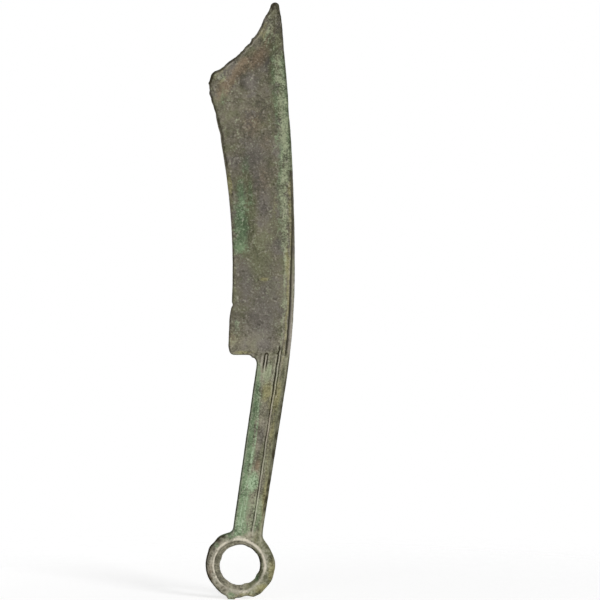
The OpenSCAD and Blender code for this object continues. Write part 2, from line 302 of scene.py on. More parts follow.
def outward(loop):
    """Normals of a closed loop that has the metal on its left."""
    along_loop = np.roll(loop, -1, 0) - np.roll(loop, 1, 0)
    normal = np.stack([along_loop[:, 1], -along_loop[:, 0]], 1)
    return normal / np.hypot(normal[:, 0], normal[:, 1])[:, None]


# Bumps and dents of the outline: x, z, height outward and width
OUTLINE_MARKS = [
    (-2.1, 70.3, -0.3, 0.55), (6.4, 147.4, 0.22, 2.0), (4.2, 143.6, -0.12, 0.9), (3.1, 142.3, 0.45, 0.4),
    (1.5, 140.0, 0.17, 0.6), (-3.0, 136.2, 0.22, 1.6), (-6.9, 133.5, 0.26, 0.9), (-8.9, 131.0, -0.45, 1.3),
    (-8.0, 131.7, -0.18, 0.6), (-8.4, 129.5, -0.12, 0.6), (-8.1, 127.3, 0.3, 1.0), (-7.7, 125.3, 0.2, 0.8),
    (-6.6, 122.0, -0.14, 1.0), (11.4, 146.0, 0.2, 4.0), (13.2, 122.0, -0.15, 2.5), (3.4, 56.2, 0.3, 0.5),
    (-5.3, 116.3, -0.2, 1.6), (-2.9, 63.8, -0.18, 2.6), (-3.2, 59.0, 0.12, 1.0), (-6.9, -6.2, -0.18, 2.2),
    (9.4, 0.4, 0.3, 2.2), (8.5, -4.0, 0.3, 2.6), (5.4, -7.6, 0.3, 1.4), (6.1, 7.2, 0.2, 1.2),
    (-8.0, 4.7, 0.28, 1.2), (-5.4, 7.6, 0.25, 1.6), (-8.1, -4.5, -0.1, 2.5), (1.6, -8.7, -0.26, 1.3),
    (-8.6, 128.2, -0.22, 0.45), (-8.95, 130.2, 0.2, 0.4), (2.4, 141.2, -0.16, 0.4), (0.2, 138.7, 0.14, 0.35),
    (5.2, 145.6, -0.14, 0.5),
]
# The same for the hole, where outward is towards its middle
HOLE_MARKS = [
    (1.4, -5.2, 0.3, 0.8), (4.7, -2.7, 0.22, 0.8), (-5.1, 1.7, 0.22, 0.9), (2.3, 4.9, 0.14, 0.8),
    (-3.2, -4.4, 0.1, 0.9), (3.9, 3.7, 0.1, 1.0), (-1.8, 5.1, 0.07, 1.2),
]
# Roughness of the outline, what the tip cut adds to it, and roughness of the hole
OUTLINE_ROUGH, CUT_ROUGH, HOLE_ROUGH = 0.045, 0.075, 0.05
# Share of each of the two noises, and how far they are moved inward
ROUGH_SHARE, ROUGH_INWARD = 0.6, 0.75
ragged = Noise(11)


def roughen(loop, marks, amount):
    """Moves an outline along its normals, mostly inward, so that it stays in the frame's box."""
    x, z = loop.T
    rough = ROUGH_SHARE * ragged.fractal(x, z, 1.6, 3) + ROUGH_SHARE * ragged(x + 40, z, 5.5)
    move = amount * (rough - ROUGH_INWARD)
    for mark_x, mark_z, height, width in marks:
        move = move + height * bell(np.hypot(x - mark_x, z - mark_z), 0, width)
    return loop + outward(loop) * move[:, None]


outer = outline_points()
in_tip_cut = smooth(124, 130, outer[:, 1]) * smooth(13, 9, outer[:, 0])
outer = roughen(outer, OUTLINE_MARKS, OUTLINE_ROUGH + CUT_ROUGH * in_tip_cut)
hole_turn = np.linspace(0, FULL_TURN, round(FULL_TURN * HOLE_R / STEP), endpoint=False)
hole = HOLE_R * np.stack([np.cos(-hole_turn), np.sin(-hole_turn)], 1)
hole = roughen(hole, HOLE_MARKS, HOLE_ROUGH)

# Flat triangulation of the whole face, with the seams between the regions as lines in it


def resample(points, step):
    points = np.asarray(points)
    gaps = np.hypot(*np.diff(points, axis=0).T)
    run = np.concatenate([[0], np.cumsum(gaps)])
    at = np.linspace(0, run[-1], max(2, round(run[-1] / step) + 1))
    return np.stack([np.interp(at, run, points[:, k]) for k in (0, 1)], 1)


def nearest(loop, point):
    return int(np.argmin(np.hypot(*(loop - point).T)))


def seam(start, end, between):
    """Indices of the outline's points at both ends of a seam, and the points between them."""
    a, b = nearest(outer, start), nearest(outer, end)
    path = resample(between(outer[a], outer[b]), STEP)
    return a, path[1:-1], b


def ring_arc(a, b, steps=200):
    turns = np.linspace(math.atan2(a[1], a[0]), math.atan2(b[1], b[0]), steps)
    r = np.linspace(np.hypot(*a), np.hypot(*b), steps)
    return np.stack([r * np.cos(turns), r * np.sin(turns)], 1)


def direct(a, b):
    return np.array([a, b])


base_start = vec(front_x(BASE_H) - BASE_FILLET_R, BASE_H)
base_end = vec(right_side(back_lower_c, BACK_R_LOWER, BASE_H), BASE_H)
base_seam = seam(base_start, base_end, direct)
ring_ends = [towards(ORIGIN, centre, RING_R) for centre in (front_fillet_c, rear_fillet_c)]
ring_seam = seam(*ring_ends, ring_arc)
stub_seam = seam(stub_start, stub_end, direct)


def crossings(z):
    """Where a level line meets the outline and the hole, from left to right."""
    found = []
    for loop in (outer, hole):
        a, b = loop, np.roll(loop, -1, 0)
        hit = (a[:, 1] > z) != (b[:, 1] > z)
        a, b = a[hit], b[hit]
        found.append(a[:, 0] + (z - a[:, 1]) * (b[:, 0] - a[:, 0]) / (b[:, 1] - a[:, 1]))
    return np.sort(np.concatenate(found))


def tree_of(points):
    tree = kdtree.KDTree(len(points))
    for i, (x, z) in enumerate(points):
        tree.insert((x, z, 0), i)
    tree.balance()
    return tree


def fixed_lines():
    """Points of the outline, the hole and the seams, their edges, and how many points aren't on a seam."""
    points = [outer, hole]
    edges, total = [], 0
    for loop in (outer, hole):
        n = len(loop)
        edges += [(total + i, total + (i + 1) % n) for i in range(n)]
        total += n
    rim_total = total
    for a, path, b in (base_seam, ring_seam, stub_seam):
        chain = [a, *range(total, total + len(path)), b]
        edges += list(zip(chain, chain[1:]))
        points.append(path)
        total += len(path)
    return np.concatenate(points), edges, rim_total


def lattice():
    """Even rows of points inside the outline, closer together on the handle and the ring."""
    low, high = outer.min(0), outer.max(0)
    rows = []
    for bottom, top, step in ((low[1], FINE_TOP, FINE_STEP), (FINE_TOP, high[1], STEP)):
        for row, z in enumerate(np.arange(bottom, top, step * math.sqrt(3) / 2)):
            x = np.arange(low[0], high[0], step) + (row % 2) * step / 2
            x = x[np.searchsorted(crossings(z), x) % 2 == 1]
            rows.append(np.stack([x, np.full_like(x, z)], 1))
    return np.concatenate(rows)


def triangulate():
    """Points and triangles of the flat face, and which points lie on the outline or the hole."""
    fixed, edges, rim_total = fixed_lines()
    tree = tree_of(fixed)

    def clear(candidates, room):
        return np.array([p for p in candidates if tree.find((p[0], p[1], 0))[2] > room])

    rows = []
    for depth in EDGE_ROWS:
        for loop in (outer, hole):
            rows.append(clear(loop - outward(loop) * depth, ROW_ROOM * depth))
    inner = clear(lattice(), EDGE_ROWS[-1] + 0.5 * FINE_STEP)
    everything = np.concatenate([fixed, *rows, inner])
    made = delaunay_2d_cdt([Vector(p) for p in everything], edges, [], 1, MERGE_GAP, False)
    points = np.array([tuple(p) for p in made[0]])
    triangles = np.array(made[2])
    rim = np.arange(len(points)) < rim_total
    # A triangle with all its corners on the outline is metal only if it runs the same way round
    a, b, c = triangles.T
    same_way = (a < b).astype(int) + (b < c) + (c < a) == 2
    return points, triangles[~rim[triangles].all(1) | same_way], rim


flat, faces, on_rim = triangulate()
X, Z = flat.T
count = len(X)


def distance_to_rim():
    """Distance of every point from the outline or the hole, and whether the hole is the nearer."""
    dense = [resample(np.concatenate([loop, loop[:1]]), RIM_STEP) for loop in (outer, hole)]
    tree = tree_of(np.concatenate(dense))
    found = [tree.find((x, z, 0)) for x, z in flat]
    gap = np.array([f[2] for f in found])
    gap[on_rim] = 0
    return gap, np.array([f[1] for f in found]) >= len(dense[0])


# Places on the coin: distances from its outline, back, handle front, cutting edge and the ring's middle
rim_gap, near_hole = distance_to_rim()
from_back = inset(X, Z)
from_front = np.where(Z < BASE_H + 1, X - front_x(Z), FAR)
behind_edge = np.hypot(X - edge_c[0], Z - edge_c[1]) - EDGE_R
from_edge = np.where(Z > BASE_H, behind_edge, FAR)
from_middle = np.hypot(X, Z)
fade = Noise(23)


def along(heights, values):
    """A value that changes evenly between the ones given at heights from low to high."""
    return np.interp(Z, heights, values)


def band(start, full_from, full_to, end):
    """0 below the first height and above the last, 1 between the two in the middle."""
    return smooth(start, full_from, Z) * smooth(end, full_to, Z)


def ring_share(ease, inner=0):
    """1 on the ring, or from a length inside its outline, easing to 0 over a length outside it."""
    return smooth(RING_R + ease, RING_R - inner, from_middle)


def uneven(middle, sway, size, low, high, shift_x=0, shift_z=0):
    """A strength that wanders over the coin: its middle, its sway, over what length, and its limits."""
    return np.clip(middle + sway * fade(X + shift_x, Z + shift_z, size), low, high)


# Relief of the ring, the blade and the handle

CREST_X = {OBVERSE: -MOULD_SLIP, REVERSE: MOULD_SLIP}
# How far the crest lies out from its circle, at angles in degrees from +X
CREST_OUT = {
    OBVERSE: ([-100, -72, -45, -15, 15, 40, 58], [0, 0.35, 0.2, 0.3, 0.25, 0.1, 0]),
    REVERSE: ([0], [0]),
}
CREST_SWAY, CREST_RIPPLE = 0.17, 0.07
# How far the handle swells at the ring, and how softly it runs into the blade, upwards and sideways
HANDLE_SWELL = 0.32
HANDLE_EASE = {OBVERSE: 1.3, REVERSE: 7}
HANDLE_SPILL = {OBVERSE: 0, REVERSE: 3.5}


def ring_place(side):
    """Angle on the ring in degrees from +X, and distance out from its crest."""
    x = X - CREST_X[side]
    turn = np.degrees(np.arctan2(Z, x))
    return turn, np.hypot(x, Z) - CREST_R - np.interp(turn, *CREST_OUT[side])


def ring_height(side):
    """Ridged crest, with a steep wall to the hole and a rounded flank to the outside."""
    r = CREST_R + ring_place(side)[1]
    r = r + CREST_SWAY * fade(X, Z + 50 * side, 2.8) + CREST_RIPPLE * fade(X, Z + 90, 1.2)
    inside = (CREST_R - r) / (CREST_R - HOLE_R)
    outside = np.clip((r - CREST_R) / (RING_R - CREST_R), 0, 1.6)
    wall = RING_HALF_T - (RING_HALF_T - HOLE_LAND) * np.clip(inside, -1, 1.3)
    flank = RING_HALF_T - (RING_HALF_T - RIM_LAND) * outside**FLANK_POWER
    return -smooth_max(-wall, -flank, CREST_ROUND)


def plain_height(side):
    """Half thickness without rims, ribs and roughness."""
    blade = np.interp(behind_edge, [-1, 0, BEVEL_W, WAIST_W], [EDGE_Y, EDGE_Y, BEVEL_Y, BACK_Y])
    slab = HANDLE_Y + HANDLE_SWELL * smooth(14, 8, Z)
    ease = HANDLE_EASE[side]
    spill = 0.8 + HANDLE_SPILL[side] * smooth(BASE_H - 1, BASE_H + 3, Z)
    side_gap = np.minimum(X - front_x(Z), back_x(Z) - X)
    handle_share = smooth(-spill, 0.3, side_gap) * smooth(BASE_H + ease, BASE_H - ease, Z) * smooth(2, 6, Z)
    body = blade + (slab - blade) * handle_share
    body = np.where(Z < LOWEST + 2, np.maximum(body, STUB_Y), body)
    return np.where(from_middle < RING_R + 3, smooth_max(body, ring_height(side), 0.25), body)


# Ribs on the handle

# The shares are places across the handle, from front to back, at the low and the high end. A rib has one
# strength below the height of its change and another above it, and its upper end fades over a length.
Rib = namedtuple("Rib", "share_low low share_high high below above change ending")
RIB_W, RIB_RISE, RIB_GROOVE = 0.22, 0.17, 0.15
RIBS = {
    OBVERSE: [Rib(0.262, 8, 0.262, 56.8, 0.08, 1, 53, 0.1), Rib(0.67, 7.5, 0.66, 59.2, 0.75, 0.95, 53, 3)],
    REVERSE: [Rib(0.32, 8, 0.335, 54.5, 0.16, 0.6, 42, 4), Rib(0.735, 7.5, 0.79, 36, 0.55, 0.15, 30, 3)],
}
# Short worn line beside the first rib of the obverse: share of the width, low end, high end
SHORT_LINE = 0.14, 52.8, 56.7
# Share of the ribs' crests that is worn bright, with a painted highlight, at heights from low to high
RIB_WEAR_AND_HIGHLIGHT = {
    OBVERSE: ([8, 14, 18, 34, 38, 46, 50, 54], [0.85, 0.8, 0.4, 0.4, 0.65, 0.6, 0.4, 0.7]),
    REVERSE: ([0], [0.3]),
}


def line_gap(share_low, low, share_high, high):
    """Distance from a line along the handle, and distance across it, negative on its front side."""
    share = share_low + (share_high - share_low) * (Z - low) / (high - low)
    middle = front_x(Z) * (1 - share) + back_x(Z) * share
    wobble = 0.1 * fade(7 * high, Z, 4.0) + 0.05 * fade(5 * high, Z, 1.2)
    across = (X - middle - wobble) * math.cos(front_lean)
    past = np.maximum(0, np.maximum(Z - high, low - Z))
    return np.hypot(across, past), across


def near_back(rib):
    return rib.share_high > 0.5


def rib_strength(rib):
    """Height of a rib along its length, 0 to about 1: uneven, and near the back broken at its upper end."""
    strength = rib.below + (rib.above - rib.below) * smooth(rib.change - 1.5, rib.change + 1.5, Z)
    strength = strength * smooth(rib.low, rib.low + 2.5, Z)
    strength = strength * smooth(rib.high + 1, rib.high + 1 - rib.ending, Z)
    strength = strength * np.clip(0.85 + 0.5 * fade(X * 0.2 + 31 * rib.high, Z, 3.0), 0.1, 1.15)
    if not near_back(rib):
        return strength
    gaps = smooth(rib.high - 4, rib.high - 1, Z) * smooth(0.1, 0.5, fade(X, Z - 60, 1.3))
    return strength * (1 - 0.7 * gaps)


def rib_wear_and_highlight(side):
    """Worn crests of the ribs with a painted highlight, and the short line beside the first one."""
    total = np.zeros_like(X)
    for rib in RIBS[side]:
        gap, across = line_gap(*rib[:4])
        total = np.maximum(total, rib_strength(rib) * bell(across, 0.06, 0.2) * (gap < 0.6))
    if side == OBVERSE:
        share, low, high = SHORT_LINE
        total = np.maximum(total, 0.75 * bell(line_gap(share, low, share, high)[0], 0, 0.17))
    return along(*RIB_WEAR_AND_HIGHLIGHT[side]) * total * uneven(0.8, 0.8, 2.0, 0, 1.2, shift_x=70)


def ribs(side):
    """Raised ribs, and the grooves along them, which are deepest near the upper end."""
    raised, groove = np.zeros_like(X), np.zeros_like(X)
    for rib in RIBS[side]:
        gap, across = line_gap(*rib[:4])
        strength = rib_strength(rib)
        raised += RIB_RISE * strength * np.clip(1 - (gap / RIB_W) ** 2, 0, 1)
        if near_back(rib):
            near_top = smooth(42, 47, Z) * (side == OBVERSE)
            other_side = 0.45
        else:
            near_top = smooth(51, 54, Z)
            other_side = 0.45 + 0.3 * near_top
        depth = RIB_GROOVE * np.clip(1.2 * strength, 0, 1) * (1 + 0.6 * near_top)
        depth = depth * np.where(across < 0, 1.0, other_side)
        groove += depth * bell(gap, RIB_W + 0.1 + 0.06 * near_top, 0.13 + 0.06 * near_top)
    return raised, groove


# Rims along the back, and the grooves beside them

# Width of a rim, at heights from low to high
RIM_W = {
    OBVERSE: ([BASE_H, 77, 93, TIP_H], [1.15, 1.15, 0.55, 0.35]),
    REVERSE: ([RIM_END_H, BASE_H], [0, 1.25]),
}
GROOVE_GAP = {OBVERSE: 0.1, REVERSE: 0.2}
# Distance of the thin line from the groove beside the reverse's rim, and of the groove on its other side
INNER_LINE, INNER_GROOVE = 0.32, 0.66
# The same two in the relief, as distances from the back, with the line's half width and height
THIN_LINE_AT, THIN_GROOVE_AT, THIN_LINE_W, THIN_LINE_RISE = 1.78, 2.12, 0.2, 0.12


def groove_lines(side):
    """Signed distance from the groove beside a rim, and how dark that groove and the inner one are, with
    dirt and painted shade.
    """
    gap = from_back - along(*RIM_W[side]) - GROOVE_GAP[side]
    if side == OBVERSE:
        on = smooth(BASE_H - 0.3, BASE_H + 0.3, Z)
        return gap, on * along([BASE_H, 84, 96, 112], [0.9, 0.9, 0.6, 0]), np.zeros_like(X)
    on = smooth(RIM_END_H - 0.5, RIM_END_H + 1.5, Z) * uneven(0.7, 0.7, 7.0, 0.25, 1)
    inner = smooth(BASE_H - 1.5, BASE_H + 2, Z) * uneven(0.55, 0.9, 6.0, 0.05, 0.9, shift_x=60)
    return gap, 0.65 * on, 0.6 * inner


def obverse_rim(plain):
    """Raised rim of the obverse, which grows low and narrow towards the tip, and the groove beside it."""
    width = along(*RIM_W[OBVERSE])
    on = smooth(BASE_H - 0.2, BASE_H + 0.5, Z)
    rise = along([BASE_H, 78, 98, TIP_H], [1, 1, 0.5, 0.4])
    depth = along([BASE_H, 82, 98, 110, TIP_H], [0.2, 0.2, 0.1, 0.02, 0]) * on
    raised = (RIM_Y - plain) * on * rise * (1 - smooth(0.7 * width, width, from_back))
    return raised, depth * bell(from_back, width + 0.1, 0.16)


def reverse_rim(plain):
    """Raised rim of the reverse, which tapers out on the handle, its thin line, and their grooves."""
    width = along(*RIM_W[REVERSE])
    on = smooth(RIM_END_H - 0.3, RIM_END_H + 1.2, Z)
    line_on = smooth(BASE_H - 0.8, BASE_H + 2, Z)
    raised = (RIM_Y - plain) * on * (1 - smooth(width - 0.3, width + 0.07, from_back))
    across = (from_back - THIN_LINE_AT) / THIN_LINE_W
    raised += THIN_LINE_RISE * line_on * np.clip(1 - across**2, 0, 1)
    rim_groove = on * bell(from_back, width + 0.21, 0.15)
    line_groove = 0.8 * line_on * bell(from_back, THIN_GROOVE_AT, 0.16)
    return raised, 0.08 * (rim_groove + line_groove) + crack()


def crack():
    """Crack along the tip cut of the reverse."""
    at = along([134, 136, 138, 141, 142.5], [1.25, 1.15, 0.75, 0.5, 0.2]) + 0.15 * fade(X, Z, 1.4)
    return 0.15 * band(132.5, 134.5, 142, 144) * (from_back > 2.5) * bell(rim_gap, at, 0.15)


# Casting skin, and the finished faces

surface_noise = {OBVERSE: Noise(5), REVERSE: Noise(6)}
# Least rise that counts as raised, room left under the frame's box, and where the crack begins
LEAST_RISE, CLEARANCE, CRACK_FROM_H = 0.004, 0.005, 130


def roughness(side):
    """Casting skin: soft lumps, grain, pits and crusts, in millimetres. The ring is the roughest."""
    n = surface_noise[side]
    ring = ring_share(3)
    lumps = (0.03 + 0.04 * ring) * n.fractal(X, Z, 6.5, 2) + 0.075 * ring * n(X, Z + 30, 1.6)
    grain = (0.024 + 0.022 * ring) * n.fractal(X + 50, Z, 1.3, 3, 0.7)
    pits = -0.06 * smooth(0.55, 1.1, n.fractal(X - 80, Z, 1.4, 2, 0.5))
    crusts = 0.05 * smooth(0.35, 0.9, n.fractal(X, Z + 90, 2.2, 3, 0.6))
    return lumps + grain + pits + crusts


def edge_round(height):
    """Share of the full height close to the outline, where the faces turn into the wall."""
    radius = np.clip(0.85 * height, 0.14, 0.5)
    t = np.clip(rim_gap / radius, 0, 1)
    return np.sqrt(1 - (1 - t) ** 2)


def relief(side):
    """Heights of the web and of the finished face, out of the coin, and depth of its grooves, which are
    darkened as dirt and painted shade.
    """
    plain = plain_height(side)
    rib, rib_cut = ribs(side)
    rim, rim_cut = obverse_rim(plain) if side == OBVERSE else reverse_rim(plain)
    skin = roughness(side) * (0.35 + 0.65 * smooth(0, 0.6, rim_gap))
    web = np.maximum(plain - rib_cut - rim_cut + skin, LEAST_Y)
    raised = np.where(rib + rim > LEAST_RISE, rib + rim, 0)
    limit = RING_HALF_T - CLEARANCE
    finished = np.minimum(web + raised, limit)
    rounding = edge_round(finished)
    dirt_and_shade_depth = rib_cut + np.where(Z > CRACK_FROM_H, rim_cut, 0)
    return np.minimum(web, limit) * rounding, finished * rounding, dirt_and_shade_depth


web, full, cut = zip(*(relief(side) for side in SIDES))

# Regions of the casting

RING, STUB, HANDLE, BLADE = range(4)
STUB_ROOM = 0.02


def regions():
    """Region that each triangle belongs to."""
    x, z = X[faces].mean(1), Z[faces].mean(1)
    stub_run = stub_end - stub_start
    below_stub = (stub_run[0] * (z - stub_start[1]) - stub_run[1] * (x - stub_start[0])) < 0
    start, path, end = ring_seam
    border = np.concatenate([outer[[start]], path, outer[[end]]])
    turn = np.arctan2(*border.T)
    order = np.argsort(turn)
    reach = np.interp(np.arctan2(x, z), turn[order], np.hypot(*border.T)[order], left=FAR, right=FAR)
    found = np.where(z > BASE_H, BLADE, np.where(np.hypot(x, z) > reach, HANDLE, RING))
    found[(z < 0) & below_stub & (x < stub_end[0] + STUB_ROOM)] = STUB
    return found


region = regions()

# Normals and hollows of the finished surface, shared by the pieces so that no seam shows


def points_of(heights, side):
    y = heights if side == REVERSE else -heights
    return np.stack([X, y, Z], 1)


def turned(side):
    return faces if side == OBVERSE else faces[:, ::-1]


def surface_normals():
    total = {}
    for side in SIDES:
        p, f = points_of(full[side], side), turned(side)
        face_normal = np.cross(p[f[:, 1]] - p[f[:, 0]], p[f[:, 2]] - p[f[:, 0]])
        total[side] = np.zeros_like(p)
        for k in range(3):
            np.add.at(total[side], f[:, k], face_normal)
    both = total[OBVERSE][on_rim] + total[REVERSE][on_rim]
    for side in SIDES:
        total[side][on_rim] = both
        total[side] /= np.linalg.norm(total[side], axis=1)[:, None] + TINY
    return total


def edges_of(triangles):
    return np.concatenate([triangles[:, [0, 1]], triangles[:, [1, 2]], triangles[:, [2, 0]]])


starts, ends = edges_of(faces).T
neighbours = np.bincount(starts, minlength=count) + np.bincount(ends, minlength=count)
neighbours = np.maximum(neighbours, 1)


def spread(values, times):
    for _ in range(times):
        total = np.bincount(starts, values[ends], count) + np.bincount(ends, values[starts], count)
        values = total / neighbours
    return values


def averaged(values, times):
    """Spreads over about the same distance in the coarse and in the fine part of the mesh."""
    finer = spread(values, round(times * (STEP / FINE_STEP) ** 2))
    return np.where(Z < FINE_TOP, finer, spread(values, times))


normals = surface_normals()

# Patina: where its colours lie on the two faces

wander = fade.fractal(X, Z, 4.5, 3)
# Where patches and strips end, as a share of their size, and how much strips and lines wander
PATCH_END, STRIP_END, STRIP_SWAY, LINE_SWAY = 1.25, 1.3, 0.3, 0.6


def patch(x, z, half_w, half_h, amount, lean=0):
    """Soft oval patch: its amount in the middle, 0 past its edge."""
    across = (X - x) - (Z - z) * lean
    return amount * np.clip(PATCH_END - np.hypot(across / half_w, (Z - z) / half_h), 0, 1)


def strip(gap, *stations):
    """Patch along a side: height, how far in it reaches and how strong it is, from low to high."""
    heights, reaches, amounts = np.array(stations).T
    reach = along(heights, reaches) * (1 + STRIP_SWAY * wander)
    return along(heights, amounts) * np.clip(STRIP_END - gap / reach, 0, 1)


def line(gap, *stations):
    """Line at a distance from a side: height, distance, half width and strength, from low to high."""
    heights, *columns = np.array(stations).T
    at, width, amount = (along(heights, column) for column in columns)
    return amount * bell(gap + LINE_SWAY * width * wander, at, width)


